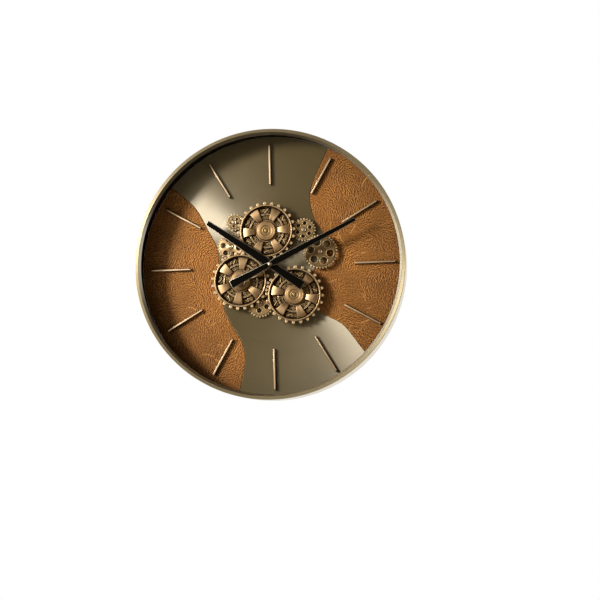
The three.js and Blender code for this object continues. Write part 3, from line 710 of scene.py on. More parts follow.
def finish(look):
    """A finish, made when it is first asked for, under a name that no frame material has."""
    name = f"{look}_finish"
    made = bpy.data.materials.get(name)
    if made:
        return made
    tones, sizes = bpy.context.scene.clock_colours, bpy.context.scene.clock_sizes
    bronze, patina = toned(tones.bronze), toned(tones.patina)
    shift = sizes.brush_shift
    dial_brush = {
        "swirl": sizes.brush_swirl, "bare": 0.50, "gloss": 2.6,
        "middle": (0.6 * shift, 0, 0.8 * shift), "calm": sizes.brush_calm,
    }
    # Tone, roughness, stretch of the highlight, brush lines and their contrast
    rings = {
        "champagne": (tones.champagne, 0.50, 0.9, 900.0, 0.06, {"swirl": math.radians(8), "bare": 0.8}),
        "dial_metal": (tones.dial_metal, 0.42, 1.0, 1100.0, 0.10, dial_brush),
        "pale_champagne": (tones.bevel, 0.30, 0.3, 900.0, 0.03, {"bumps": 0.03}),
        "turned_brass": (tones.cap_brass, 0.44, 0.3, 420.0, 0.10, {}),
        # A paler copy of the bronze: painted highlight.
        "pale_bronze": (toned(bronze, 1.6), 0.42, 0.8, 420.0, 0.08, {}),
        "gold": (tones.gold, 0.28, 0.2, 1600.0, 0.05, {}),
    }
    # Tone, tone in the hollows, roughness, width of a hollow and fineness of the scratches
    aged = {
        "bronze": (bronze, patina),
        "dark_bronze": (toned(bronze, 0.4), patina, 0.45),
        # A near black copy of the bronze, put only where shade falls: painted shade.
        "blackened": (toned(bronze, 0.08), patina, 0.5),
        "works_bronze": (tones.works, tones.works_patina, 0.42, 4 * MM),
        "rim_bronze": (tones.rim, patina, 0.40, 4 * MM),
        "lip_bronze": (toned(bronze, 1.2), patina, 0.40, 4 * MM),
        "gear_bronze": (tones.gear, patina),
        "copper": (tones.copper, toned(tones.copper, 0.5), 0.44, 3 * MM, 120),
    }
    # Maker, tone and what the maker asks for
    plain = {
        "marker_brass": (drawn_metal, tones.brass, 0.40),
        "hand_steel": (drawn_metal, tones.hand_edge, 0.5),
        "leather": (leather, tones.ridge, toned(tones.crease)),
        "paint": (painted, tones.paint, 0.3, 900.0, 0.01 * MM, 0.05),
        "plastic": (painted, tones.plastic, 0.5, 1400.0, 0.12 * MM),
        "sleeve": (painted, tones.sleeve, 0.3, 700.0, 0.02 * MM),
        "floor": (painted, tones.floor, 0.7, 60.0, 0.05 * MM, 0.4, 0.02),
        "pressed_fibre": (fibreboard, tones.fibre),
        "zinc": (zinc_plate, tones.zinc),
    }
    if look in rings:
        tone, *brush, more = rings[look]
        return brushed_rings(name, toned(tone), *brush, **more)
    if look in aged:
        tone, dark, *wear = aged[look]
        return aged_metal(name, toned(tone), toned(dark), *wear)
    maker, tone, *settings = plain[look]
    return maker(name, toned(tone), *settings)


# Pieces


def pressed(node, name, edge, look):
    """A flat piece cut to its node's outline."""
    back, front = heights(node)
    solid = plate(outlines(node), back, front, edge)
    piece(name, [(solid, 0)], [look], replaces=[node])


def dress_case(sizes):
    """The hoop's band, a black lining over its inner wall that is painted shade, and the bevelled bezel
    on its front.
    """
    inner = bore("case_hoop", (0, 0))
    outer = -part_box("case_hoop")[0].x
    back, front = heights("case_hoop")
    hoop = turned(bar(inner, outer, back, front), RIM_SIDES, 0.8 * MM)
    piece("hoop", [(hoop, 0)], ["pale_champagne"], replaces=["case_hoop"])
    dial = heights("brushed_dial_sheet")[1]
    # Painted shade: the black lining darkens the hoop's inner wall, which lies in shade.
    lining = turned(bar(inner - 0.4 * MM, inner + 0.2 * MM, dial, front), RIM_SIDES)
    piece("hoop_painted_shade_lining", [(lining, 0)], ["paint"])
    corners = frame_mesh("front_bezel")[0]
    radius = reaches(corners)
    lip = radius.min()
    lip_front = corners[radius < lip + 0.1 * MM, 2].max()
    back, front = heights("front_bezel")
    step, fall = outer - sizes.bezel_face, front - sizes.bezel_step
    ring = [(lip + 0.4 * MM, lip_front - 0.6 * MM), (lip + 0.4 * MM, back), (outer, back)]
    ring = eased(ring + [(outer, front), (step, front)], 1.0 * MM, False, 4)
    ring.append((step, fall - 0.5 * MM))
    slope = [(lip, lip_front), (lip, back + 0.3 * MM), (lip + 0.6 * MM, back + 0.3 * MM)]
    slope += [(step + 0.2 * MM, fall - 0.4 * MM), (step - 0.3 * MM, fall)]
    solids = [(turned(ring, RIM_SIDES), 0), (turned(slope, RIM_SIDES), 1)]
    piece("bezel", solids, ["champagne", "pale_champagne"], replaces=["front_bezel"])


def dress_dial(sizes):
    """The brushed sheet that runs down the dial between the leather panels."""
    node = "brushed_dial_sheet"
    back, front = heights(node)
    loops = outlines(node)
    sheet = plate([smooth_outline(loops[0])] + loops[1:], back, front, sizes.dial_edge)
    piece("dial_sheet", [(sheet, 0)], ["dial_metal"], replaces=[node])


def wrinkle_field(spacing, seed=11):
    """Heights of drifting creases and of scuffs over a square of leather, as two grids."""
    dice = np.random.default_rng(seed)
    shape = (LEATHER_CELLS, LEATHER_CELLS)
    across = np.fft.rfftfreq(LEATHER_CELLS, LEATHER_SPAN / LEATHER_CELLS)
    down = np.fft.fftfreq(LEATHER_CELLS, LEATHER_SPAN / LEATHER_CELLS)[:, None]
    pitch = np.hypot(across, down)
    wave = 1 / spacing

    def noise():
        """The spectrum of plain noise."""
        return np.fft.rfft2(dice.standard_normal(shape))

    def hills(spectrum):
        """The heights that a spectrum stands for."""
        return np.fft.irfft2(spectrum, s=shape)

    def bell(value, width):
        """1 where a value is 0, falling off on both sides."""
        return np.exp(-0.5 * (value / width) ** 2)

    def soft(reach):
        """Smooth noise whose hills are about as wide as the reach."""
        made = hills(noise() * bell(pitch, 1 / reach))
        return made / made.std()

    heading = 0.5 * np.arctan2(soft(0.11), soft(0.11) + 0.3)
    strength = np.clip(0.85 + 0.28 * soft(0.07), 0.35, 1.3)
    spectrum = noise()
    field, weights = np.zeros(shape), np.zeros(shape)
    for n in range(CREASE_HEADINGS):
        facing = math.pi * n / CREASE_HEADINGS
        along = across * math.cos(facing) + down * math.sin(facing)
        beside = down * math.cos(facing) - across * math.sin(facing)
        band = bell(abs(along) - wave, 0.40 * wave) * bell(beside, 0.70 * wave)
        weight = np.exp(6 * (np.cos(2 * (heading - facing)) - 1))
        field += weight * hills(spectrum * band)
        weights += weight
    field /= weights
    field = strength * np.tanh(1.2 * field / field.std())
    fine = hills(noise() * bell(pitch - 2.0 * wave, 0.5 * wave))
    field = np.clip(field + 0.38 * fine / fine.std(), -1.3, 1.3)
    field = 2 * ((field + 1.3) / 2.6) ** 1.8 - 1
    scuff = np.zeros(shape)
    cells = (np.arange(LEATHER_CELLS) + 0.5) / LEATHER_CELLS * LEATHER_SPAN - LEATHER_SPAN / 2
    for _ in range(SCUFFS):
        x, y = dice.uniform(-0.28, 0.28, 2)
        facing, reach = dice.uniform(0, math.pi), dice.uniform(5, 16) * MM
        sag = dice.uniform(-0.3, 0.3)
        u = (cells[None, :] - x) * math.cos(facing) + (cells[:, None] - y) * math.sin(facing)
        v = (cells[:, None] - y) * math.cos(facing) - (cells[None, :] - x) * math.sin(facing)
        line = bell(v - sag * u * u / reach, 0.6 * MM) * (abs(u) < reach)
        scuff = np.maximum(scuff, line * dice.uniform(0.25, 0.75))
    return field, scuff


def sampled(grid, points):
    """Values of a square grid at points on the dial."""
    cells = len(grid)
    spots = np.clip((points + LEATHER_SPAN / 2) / LEATHER_SPAN * cells - 0.5, 0, cells - 1.001)
    low = spots.astype(int)
    x, y = (spots - low).T
    column, row = low.T
    upper = grid[row, column] * (1 - x) + grid[row, column + 1] * x
    lower = grid[row + 1, column] * (1 - x) + grid[row + 1, column + 1] * x
    return upper * (1 - y) + lower * y


def inside(points, loop):
    """Which points lie inside a closed loop."""
    x, y = points.T
    within = np.zeros(len(points), bool)
    for (ax, ay), (bx, by) in zip(loop, np.roll(loop, -1, axis=0)):
        spans = (ay > y) != (by > y)
        within ^= spans & (x < ax + (y - ay) / ((by - ay) or 1) * (bx - ax))
    return within


def skirted(corners, faces, rim, back):
    """A closed solid from a curved top, its rim and a flat back."""
    count, around = len(corners), len(rim)
    corners = np.vstack((corners, [(*corners[n][:2], back) for n in rim]))
    faces = faces + [[rim[n - 1], count + (n - 1) % around, count + n, rim[n]] for n in range(around)]
    return outward(corners, faces + [[count + n for n in reversed(range(around))]])


def dress_leather(side, sizes, field, scuff):
    """One leather panel: its cut outline, a field of raised creases and a rolled edge."""
    node = f"leather_panel_{side}"
    back, front = heights(node)
    loop = smooth_outline(outlines(node)[0])
    grid = sizes.leather_grid * 1
    low, high = loop.min(axis=0), loop.max(axis=0)
    rows = np.arange(low[1], high[1], grid * math.sqrt(3) / 2)
    columns = np.arange(low[0], high[0], grid)
    points = np.array([(x + (n % 2) * grid / 2, y) for n, y in enumerate(rows) for x in columns])
    points = points[inside(points, loop)]
    edge = KDTree(len(loop))
    for n, (x, y) in enumerate(loop):
        edge.insert((x, y, 0), n)
    edge.balance()

    def gaps(spots):
        """How far points lie from the panel's edge."""
        return np.array([edge.find((x, y, 0))[2] for x, y in spots])

    points = np.vstack((loop, points[gaps(points) > 0.9 * grid]))
    ring = [(n, (n + 1) % len(loop)) for n in range(len(loop))]
    made = delaunay_2d_cdt([Vector(point) for point in points], ring, [], 1, 1e-7)
    flat = np.array([tuple(point) for point in made[0]])
    faces = [list(face) for face in made[2]]
    gap = gaps(flat)
    wrinkle = sampled(field, flat)
    lift = front - sizes.leather_shoulder * np.clip(1 - gap / (2.2 * MM), 0, 1) ** 2
    lift += sizes.wrinkle_depth * wrinkle * np.clip(gap / (3 * MM), 0.15, 1)
    rim = open_rims(faces)[0]
    solid = skirted(np.column_stack((flat, lift)), faces, rim, back)
    panel = piece(
        f"leather_{side}", [(solid, 0)], ["leather"],
        replaces=[node], sharp=math.radians(75)
    )
    for name, values in (("wrinkle", wrinkle), ("scuff", sampled(scuff, flat))):
        stored = panel.data.attributes.new(name, "FLOAT", "POINT")
        stored.data.foreach_set("value", np.concatenate((values, np.zeros(len(rim)))))
    x, y = loop.T


def dress_markers(sizes):
    """Twelve raised bars with rounded tops on black feet, whose black edges are painted shade along the
    bars.
    """
    for hour in range(1, HOURS + 1):
        node = f"hour_marker_{hour}"
        corners = frame_mesh(node)[0][:, :2]
        back, front = heights(node)
        facing = math.pi / 2 - TURN * hour / HOURS
        along = corners @ (math.cos(facing), math.sin(facing))
        half = abs(corners @ (-math.sin(facing), math.cos(facing))).max()
        outline = np.array(bar(along.min(), along.max(), -half, half))
        edge = min(sizes.marker_edge, 0.4 * half)
        # The brass top is narrower than its black foot, so a black edge of painted shade shows along
        # each bar's sides.
        top = plate([outline * (1, 0.8)], front - 2.2 * MM, front, edge, 4)
        foot = plate([outline], back, front - 1.2 * MM, 0.3 * MM, 4)
        solids = [(shifted(solid, turn=facing), kind) for kind, solid in enumerate((top, foot))]
        piece(f"marker_{hour}", solids, ["marker_brass", "blackened"], replaces=[node])


def dress_rod(name, node, body, at=(0, 0), edge=0.3 * MM, sides=48):
    """A turned brass pin or tube that follows a node's rings, from its back to its front."""
    corners = frame_mesh(node)[0]
    radius = np.round(reaches(corners, at), 5)
    steps = levels(node)
    profile = []
    for height in steps:
        radii = sorted(set(radius[abs(corners[:, 2] - height) < 1e-5]))
        radii = [radii[0], radii[-1]] if len(radii) > 1 else radii
        profile += [(r, height) for r in (radii[::-1] if height == steps[-1] else radii)]
    if profile[0][0] <= 0.1 * MM:
        profile[0], profile[-1] = (0, profile[0][1]), (0, profile[-1][1])
    piece(name, [(turned(profile, sides, edge), 0)], ["turned_brass"], body, at, [node])


def dress_hands(sizes):
    """Bevelled hands, the domed nut that holds them and the shafts behind."""
    for hand in ("hour_hand", "minute_hand"):
        back, front = heights(hand)
        loops = outlines(hand)
        blade = plate([grown(loops[0], sizes.hand_reach)] + loops[1:], back, front, sizes.hand_edge)
        looks = ["paint", "hand_steel"]
        piece(f"{hand}_blade", [(blade, (0, 1))], looks, hand, replaces=[hand])
    back, front = heights("hand_nut")
    wide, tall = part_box("hand_nut")[1].z, front - back
    dome = [(0, back), (wide, back), (wide, back + 0.45 * tall)]
    for turn in np.linspace(0.2, 1.3, 7):
        dome.append((wide * math.cos(turn), back + (0.45 + 0.55 * math.sin(turn)) * tall))
    dome = turned(dome + [(0, front)], 48)
    piece("hand_nut_dome", [(dome, 0)], ["gold"], "minute_hand", replaces=["hand_nut"])
    dress_rod("hour_pipe_shaft", "hour_pipe", "hour_hand", edge=0.2 * MM)
    dress_rod("minute_arbor_shaft", "minute_arbor", "minute_hand", edge=0.2 * MM)
    dress_rod("mounting_bushing_shaft", "mounting_bushing", "clock_body", edge=0.2 * MM)
    pressed("mounting_nut", "bushing_nut", 0.5 * MM, "turned_brass")


def arched_pad(inner, outer, facing, back, front, arch, soft=0.5 * MM):
    """A pad of a large wheel: a piece of a ring whose top falls towards its inner and outer ends."""
    radii = np.linspace(inner + soft, outer - soft, 13)
    radii = [inner, inner + 0.3 * soft, *radii, outer - 0.3 * soft, outer]
    turns = np.array((-0.5, -0.48, *np.linspace(-0.45, 0.45, 7), 0.48, 0.5)) * PAD_SPREAD
    middle, half = (inner + outer) / 2, (outer - inner) / 2
    corners = []
    for radius in radii:
        for turn in turns:
            inset = min(radius - inner, outer - radius, (PAD_SPREAD / 2 - abs(turn)) * radius)
            drop = arch * ((radius - middle) / half) ** 2 + soft * (1 - min(1, inset / soft)) ** 2
            x, y = radius * math.cos(facing + turn), radius * math.sin(facing + turn)
            corners.append((x, y, front - drop))
    rows, columns = len(radii), len(turns)
    faces = [
        [r * columns + c, r * columns + c + 1, (r + 1) * columns + c + 1, (r + 1) * columns + c]
        for r in range(rows - 1) for c in range(columns - 1)
    ]
    rim = list(range(columns)) + [r * columns + columns - 1 for r in range(1, rows)]
    rim += [(rows - 1) * columns + c for c in reversed(range(columns - 1))]
    rim += [r * columns for r in reversed(range(1, rows - 1))]
    return skirted(corners, faces, rim, back)


def small_gear(radius, teeth, back, front, phase):
    """A small toothed wheel with a bored middle."""
    pitch = radius / teeth
    flank = [(0.78 * radius, 1.9 * pitch), (0.92 * radius, 1.5 * pitch), (radius, 0.8 * pitch)]
    loops = [toothed(teeth, flank, phase), circle(0.5 * radius, sides=20)]
    return plate(loops, back, front, 0.18 * MM, 1)


def wheel_works(back, phase, seed):
    """Flat wheels, bars, posts and a black plate that fill the windows of a large wheel; the black plate
    and the darker bronze of the lower wheels and posts are painted shade deep in the windows.
    """
    dice = np.random.default_rng(seed)
    # Painted shade: a black plate under the works.
    floor = [circle(54 * MM, sides=72), circle(12 * MM, sides=36)]
    solids = [(plate(floor, back - 0.9 * MM, back - 0.25 * MM, 0.15 * MM), 0)]
    stand = back - 0.3 * MM
    for gap in range(WHEEL_PADS):
        facing = phase + TURN * (gap + 0.5) / WHEEL_PADS
        side = 1 if dice.random() < 0.5 else -1
        for radius, offset, size, teeth, lift in WORKS:
            turn = facing + math.radians(offset * side + dice.uniform(-1.2, 1.2))
            spot = radius * MM * math.cos(turn), radius * MM * math.sin(turn)
            low = stand + lift * MM
            gear = small_gear(size * MM, teeth, low, low + 1.0 * MM, dice.uniform(0, 1))
            # Painted shade by depth: lower wheels and the posts take the darker works bronze, higher
            # wheels plain bronze.
            solids.append((shifted(gear, *spot), 2 if low > stand + 1.5 * MM else 1))
            post = turned(bar(0, 0.34 * size * MM, stand, low + 1.2 * MM), 20, 0.2 * MM, 2)
            solids.append((shifted(post, *spot), 1))
        reach, slant = dice.uniform(11, 13) * MM, facing + side * dice.uniform(0.5, 1.1)
        link = bar(-reach / 2, reach / 2, -0.75 * MM, 0.75 * MM)
        link = plate([link], stand + 3.4 * MM, stand + 4.6 * MM, 0.3 * MM)
        turn = facing + math.radians(side * dice.uniform(2, 5))
        spot = WORKS_RING * math.cos(turn), WORKS_RING * math.sin(turn)
        solids.append((shifted(link, *spot, turn=slant), 3))
    return solids


def dress_wheel(side, sizes):
    """One large wheel: toothed rim, raised lip, spoked web, arched pads, works and hub cap."""
    node = f"{side}_wheel"
    at = axis(node)
    corners = frame_mesh(node)[0] - (*at, 0)
    back, web, pad_front, front = levels(node)
    radius = reaches(corners)
    tip = radius.max()
    rim_inner = radius[abs(corners[:, 2] - front) < 1e-5].min()
    on_pads = abs(corners[:, 2] - pad_front) < 1e-5
    pad_turn = np.arctan2(corners[on_pads, 1], corners[on_pads, 0])
    phase = np.angle(np.exp(1j * WHEEL_PADS * pad_turn).mean()) / WHEEL_PADS
    gaps = [phase + TURN * (gap + 0.5) / WHEEL_PADS for gap in range(WHEEL_PADS)]
    lip_inner = rim_inner + sizes.lip_inset
    lip = turned(bar(lip_inner, lip_inner + sizes.lip_width, web, front), 120, 0.7 * MM)
    flank = [(tip - drop * MM, half * MM) for drop, half in WHEEL_FLANK]
    teeth = toothed(WHEEL_TEETH, flank, tooth_phase(corners[:, :2], WHEEL_TEETH))
    loops = [teeth, circle(lip_inner + 0.2 * MM, sides=96)]
    ring = plate(loops, back, front - sizes.tooth_step, 0.6 * MM)
    loops = [circle(lip_inner + 0.8 * MM, sides=96)]
    loops += [sector(*window, facing, WINDOW_SPREAD) for facing in gaps for window in WINDOWS]
    spoked = plate(loops + [circle(bore(node, at), sides=48)], back, web, 0.35 * MM)
    solids = [(ring, 1), (lip, 2), (spoked, 0)]
    for facing in gaps:
        for rail in RAILS:
            drawn = sector(*rail, facing, RAIL_SPREAD)
            solids.append((plate([drawn], web - 0.3 * MM, web + sizes.rail_height, 0.25 * MM), 1))
    looks = ["bronze", "rim_bronze", "lip_bronze"]
    piece(node + "_rim", solids, looks, node, at, [node])
    pad_inner, pad_outer = radius[on_pads].min(), radius[on_pads].max() + sizes.pad_reach
    pads = []
    for n in range(WHEEL_PADS):
        facing = phase + TURN * n / WHEEL_PADS
        pad = arched_pad(pad_inner, pad_outer, facing, web - 0.3 * MM, pad_front, sizes.pad_arch)
        pads.append((pad, 0))
    piece(node + "_pads", pads, ["copper"], node, at)
    works = wheel_works(back, phase, WHEEL_SIDES.index(side) + 3)
    # A black ring under the lip: painted shade in the gap between the lip and the pads.
    painted_shade_ring = bar(lip_inner - 2.2 * MM, lip_inner + 0.2 * MM, web - 0.2 * MM, web + 0.2 * MM)
    works.append((turned(painted_shade_ring), 0))
    looks = ["blackened", "works_bronze", "bronze", "rim_bronze"]
    piece(node + "_works", works, looks, node, at)
    dress_hub_cap(side, at)


def dress_hub_cap(side, at):
    """A hub cap with turned rings, bored to clear its axle."""
    node, axle = f"{side}_hub_cap", f"{side}_axle"
    back, front = heights(node)
    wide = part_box(node)[1].z - at[1]
    crown = back + 0.8 * (front - back)
    deep = crown - 1.4 * MM
    inner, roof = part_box(axle)[1].z - at[1] + 0.4 * MM, heights(axle)[1] + 0.3 * MM
    # Shares of the cap's radius, and heights
    ring = [(0.93, crown), (0.82, crown + 0.1 * MM), (0.80, crown - 0.15 * MM), (0.78, crown + 0.1 * MM)]
    ring += [(0.54, crown + 0.2 * MM), (0.50, deep), (0, deep)]
    eye = [(0, deep - 0.3 * MM), (0.43, deep - 0.3 * MM), (0.40, crown - 0.4 * MM)]
    eye += [(0.29, crown - 0.4 * MM), (0.26, deep + 0.3 * MM), (0.18, deep + 0.3 * MM)]
    eye += [(0.15, crown - 0.3 * MM), (0, crown - 0.2 * MM)]
    ring, eye = ([(share * wide, height) for share, height in drawn] for drawn in (ring, eye))
    cup = [(0, roof), (inner, roof), (inner, back), (wide, back), (wide, back + 0.5 * (front - back))]
    solids = [(turned(drawn, 96, 0.3 * MM, 2), kind) for kind, drawn in enumerate((cup + ring, eye))]
    looks = ["turned_brass", "gear_bronze"]
    piece(f"{side}_cap", solids, looks, f"{side}_wheel", at, [node])


def dress_axles():
    """Turned axles and the left wheel's spacer."""
    for side, body in (("top", "clock_body"), ("right", "clock_body"), ("left", "left_wheel")):
        dress_rod(f"{side}_pin", f"{side}_axle", body, axis(f"{side}_wheel"))
    dress_rod("left_collar", "left_spacer", "left_wheel", axis("left_wheel"))


def fine_gear_rim(corners, teeth):
    """The toothed outline of a fine gear, in phase with its frame node, and its pitch radius."""
    pitch = reaches(corners).max() - 2.0 * MM
    flank = ((-1.8, 1.75), (-0.8, 1.6), (0.5, 1.35), (1.2, 0.95), (1.5, 0.45))
    flank = [(pitch + rise * MM, half * MM) for rise, half in flank]
    return toothed(teeth, flank, tooth_phase(corners, teeth)), pitch


def gear_holes(node, at):
    """Centres and radii of the round holes in a fine gear, one for each opening of the frame node."""
    holes = []
    for loop in outlines(node)[1:]:
        centre = loop.mean(axis=0)
        reach = np.hypot(*(centre - at))
        if reach > 1 * MM:
            ring, radius = GEAR_HOLES.get(node, (reach, reaches(loop, centre).mean()))
            holes.append(((centre - at) / reach * ring, radius))
    return holes


def dress_fine_gear(node, sizes):
    """A fine gear with a toothed rim, a raised disc, rimmed holes and the stud that it turns on."""
    at = axis(node)
    steps = levels(node)
    back, disc, front = steps[0], steps[1], steps[-1]
    inner, holes = bore(node, at), gear_holes(node, at)
    rim, pitch = fine_gear_rim(outlines(node)[0] - at, FINE_TEETH[node])
    low = front - sizes.gear_step
    wide = pitch - sizes.gear_rim
    web = front - sizes.gear_web
    solids = [(plate([rim, circle(wide - 1 * MM, sides=96)], disc, low, 0.4 * MM), 0)]
    cuts = [circle(inner, sides=36)] + [circle(radius, middle, 36) for middle, radius in holes]
    solids.append((plate([circle(wide, sides=96)] + cuts, web, front, 0.35 * MM), 1))
    # A black ring round the raised disc: painted shade in the gap between the disc and the teeth.
    painted_shade_ring = bar(wide - 0.2 * MM, wide + 0.8 * MM, low - 0.3 * MM, low + 0.08 * MM)
    solids.append((turned(painted_shade_ring), 2))
    for middle, radius in holes:
        edge = bar(radius, radius + sizes.hole_rim, front - 0.4 * MM, front + 0.4 * MM)
        solids.append((shifted(turned(edge, 40, 0.25 * MM), *middle), 0))
    boss = bar(inner, 6.4 * MM, back, web + 0.3 * MM)
    solids.append((turned(boss, 40, 0.3 * MM), 0))
    looks = ["rim_bronze", DISC_FINISH.get(node, "gear_bronze"), "blackened"]
    piece(node + "_cut", solids, looks, node, at, [node])
    stud = f"{node}_stud"
    foot, head, top = levels(stud)
    clear, recess = head + 0.3 * MM, top - 1.5 * MM
    # Radii in millimetres, and heights
    pin = [(0, foot), (3.0, foot), (3.0, head), (4.4, head), (4.4, clear), (5.4, clear)]
    pin += [(5.4, top - 0.5 * MM), (4.9, top), (3.6, top), (3.4, recess), (2.0, recess)]
    pin += [(1.9, top - 0.3 * MM), (0, top - 0.2 * MM)]
    pin = turned([(radius * MM, height) for radius, height in pin], 40, 0.25 * MM, 2)
    piece(f"{node}_pin", [(pin, 0)], ["gold"], at=at, replaces=[stud])


def dress_drive_wheel(side):
    """A drive wheel behind a large wheel, toothed and pierced, on its hub."""
    node = f"{side}_drive_wheel"
    at = axis(f"{side}_wheel")
    steps = levels(node)
    inner = bore(node, at)
    loops = [fine_gear_rim(frame_mesh(node)[0][:, :2] - at, DRIVE_TEETH[side])[0]]
    loops += [circle(7 * MM, middle, 32) for middle in circle(33 * MM, sides=6)]
    loops.append(circle(inner + 0.3 * MM, sides=48))
    disc = plate(loops, steps[1], steps[-2], 0.35 * MM)
    hub = turned(bar(inner, 9 * MM, steps[0], steps[-1] - 0.95 * MM), 48, 0.3 * MM)
    solids = [(disc, 0), (hub, 0)]
    piece(f"{side}_drive", solids, ["dark_bronze"], f"{side}_wheel", at, [node])


def coat(node, look):
    """Gives a frame node that stays in view its finish."""
    mesh = frame["nodes"][node].data
    mesh.materials.clear()
    mesh.materials.append(finish(look))


def slotted_head(radius, back, front, slot=0.16):
    """A screw head with a rounded edge and a straight slot, as three solids. Half the slot's width is
    a share of the radius."""
    middle = (back + front) / 2
    spread = math.asin(slot)
    head = [turned(bar(0, radius, back, middle), 32, 0.1 * radius)]
    for facing in (0, math.pi):
        arc = circle(radius, sides=16, start=facing + spread, sweep=math.pi - 2 * spread)
        head.append(plate([arc], middle, front, 0.12 * radius))
    return head


def dress_back():
    """The back panel and its screws, the hanger, the two cases, their cells and the setting knob."""
    for node in ("spacer_ring", "dial_board"):
        coat(node, "pressed_fibre")
    for node in ("movement_case", "gear_motor_case"):
        coat(node, "plastic")
    pressed("back_panel", "rear_panel", 0.3 * MM, "pressed_fibre")
    screws = []
    for x, y in circle(SCREW_RING, sides=SCREWS, start=TURN / (2 * SCREWS)):
        for corners, faces in slotted_head(SCREW_HEAD, 0, 1.2 * MM):
            flipped = corners * (1, 1, -1) + (0, 0, 0.9 * MM), [face[::-1] for face in faces]
            screws.append((shifted(flipped, x, y), 0))
    piece("panel_screws", screws, ["zinc"])
    pressed("hanger_plate", "hanger", 0.3 * MM, "zinc")
    dress_cell("movement_cell", "movement_battery")
    dress_cell("gear_motor_cell", "motor_battery")
    at = axis("setting_knob")
    steps = levels("setting_knob")
    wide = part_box("setting_knob")[1].z - at[1]
    flutes = toothed(KNOB_FLUTES, [(0.93 * wide, 0.55 * MM), (wide, 0.3 * MM)], 0)
    knob = plate([flutes], steps[0], steps[1], 0.4 * MM)
    stem = turned(bar(0, 1.6 * MM, steps[1] - 0.3 * MM, steps[-1]), 24, 0.2 * MM)
    solids = [(knob, 0), (stem, 0)]
    piece("knob", solids, ["plastic"], "setting_knob", at, ["setting_knob"])


def dress_cell(node, name):
    """A plain cell: a sleeve between two metal ends, one with a button."""
    low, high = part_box(node)
    size, middle = high - low, (low + high) / 2
    lies = size.x == max(size)
    reach, wide = max(size), min(size) / 2
    neck = reach - 2.0 * MM
    sleeve = [(0, 0.8 * MM), (wide - 0.1 * MM, 0.8 * MM), (wide, 1.4 * MM), (wide, reach - 2.6 * MM)]
    sleeve += [(wide - 0.5 * MM, neck), (0, neck)]
    base = [(0, 0), (0.7 * wide, 0), (0.75 * wide, 0.4 * MM), (0.75 * wide, 1 * MM), (0, 1 * MM)]
    button = [(0, reach - 2.4 * MM), (0.8 * wide, reach - 2.4 * MM), (0.8 * wide, reach - 1.7 * MM)]
    button += [(0.38 * wide, reach - 1.5 * MM), (0.38 * wide, reach), (0, reach)]
    solids = []
    for profile, kind in ((sleeve, 0), (base, 1), (button, 1)):
        corners, faces = turned(profile, 48, 0.25 * MM)
        x, y, along = corners.T
        right, up = (low.x + along, middle.z + x) if lies else (middle.x + x, low.z + along)
        solids.append((outward(np.column_stack((right, up, -middle.y + y)), faces), kind))
    piece(name, solids, ["sleeve", "zinc"], replaces=[node])


# Stage


def stand(made, place, target, roll=0.0):
    """Stands a lamp or the camera at a place and turns it to a target."""
    made.location = place
    made.rotation_mode = "QUATERNION"
    facing = (Vector(target) - Vector(place)).to_track_quat("-Z", "Y")
    made.rotation_quaternion = facing @ Quaternion((0, 0, 1), roll)
    bpy.context.scene.collection.objects.link(made)
    return made


def lamp(name, place, size, watts, target=(0, -0.05, 0)):
    """A soft square lamp."""
    light = bpy.data.lights.new(name, "AREA")
    light.size = size
    light.energy = watts
    stand(bpy.data.objects.new(name, light), place, target)


def set_surroundings(stage):
    """White to the camera, dim to matt surfaces, and a studio with a bright side to metal."""
    world = bpy.data.worlds.new("surroundings")
    world.use_nodes = True
    world.cycles.sampling_method = "NONE"
    bpy.context.scene.world = world
    tree = world.node_tree
    path = add(tree, "ShaderNodeLightPath").outputs
    way = add(tree, "ShaderNodeTexCoord").outputs["Generated"]
    deep = add(tree, "ShaderNodeSeparateXYZ", {"Vector": way}).outputs["Y"]
    leftwards = vector(tree, "DOT_PRODUCT", way, (-0.966, 0, 0.26))
    beside = ranged(tree, leftwards, 0.2, 0.8, stage.dim_studio, stage.studio)
    ahead = ranged(tree, deep, -0.9, -0.4, stage.front_studio, 0.0)
    window = ranged(tree, leftwards, 0.8, 0.97, 0.0, 1.0)
    away = arith(tree, "MAXIMUM", window, ranged(tree, deep, 0.12, 0.4, 0.0, 1.0))
    mirrored = chosen(tree, away, arith(tree, "ADD", beside, ahead), 1.0)
    light = chosen(tree, path["Is Glossy Ray"], stage.ambient, mirrored)
    light = chosen(tree, path["Is Transmission Ray"], light, 1.0)
    light = chosen(tree, path["Is Camera Ray"], light, 1.0)
    white = arith(tree, "MAXIMUM", away, path["Is Camera Ray"])
    tint = mixed(tree, white, tuple(stage.room_tint), (1, 1, 1))
    feed(tree.nodes["Background"], Color=tint, Strength=light)


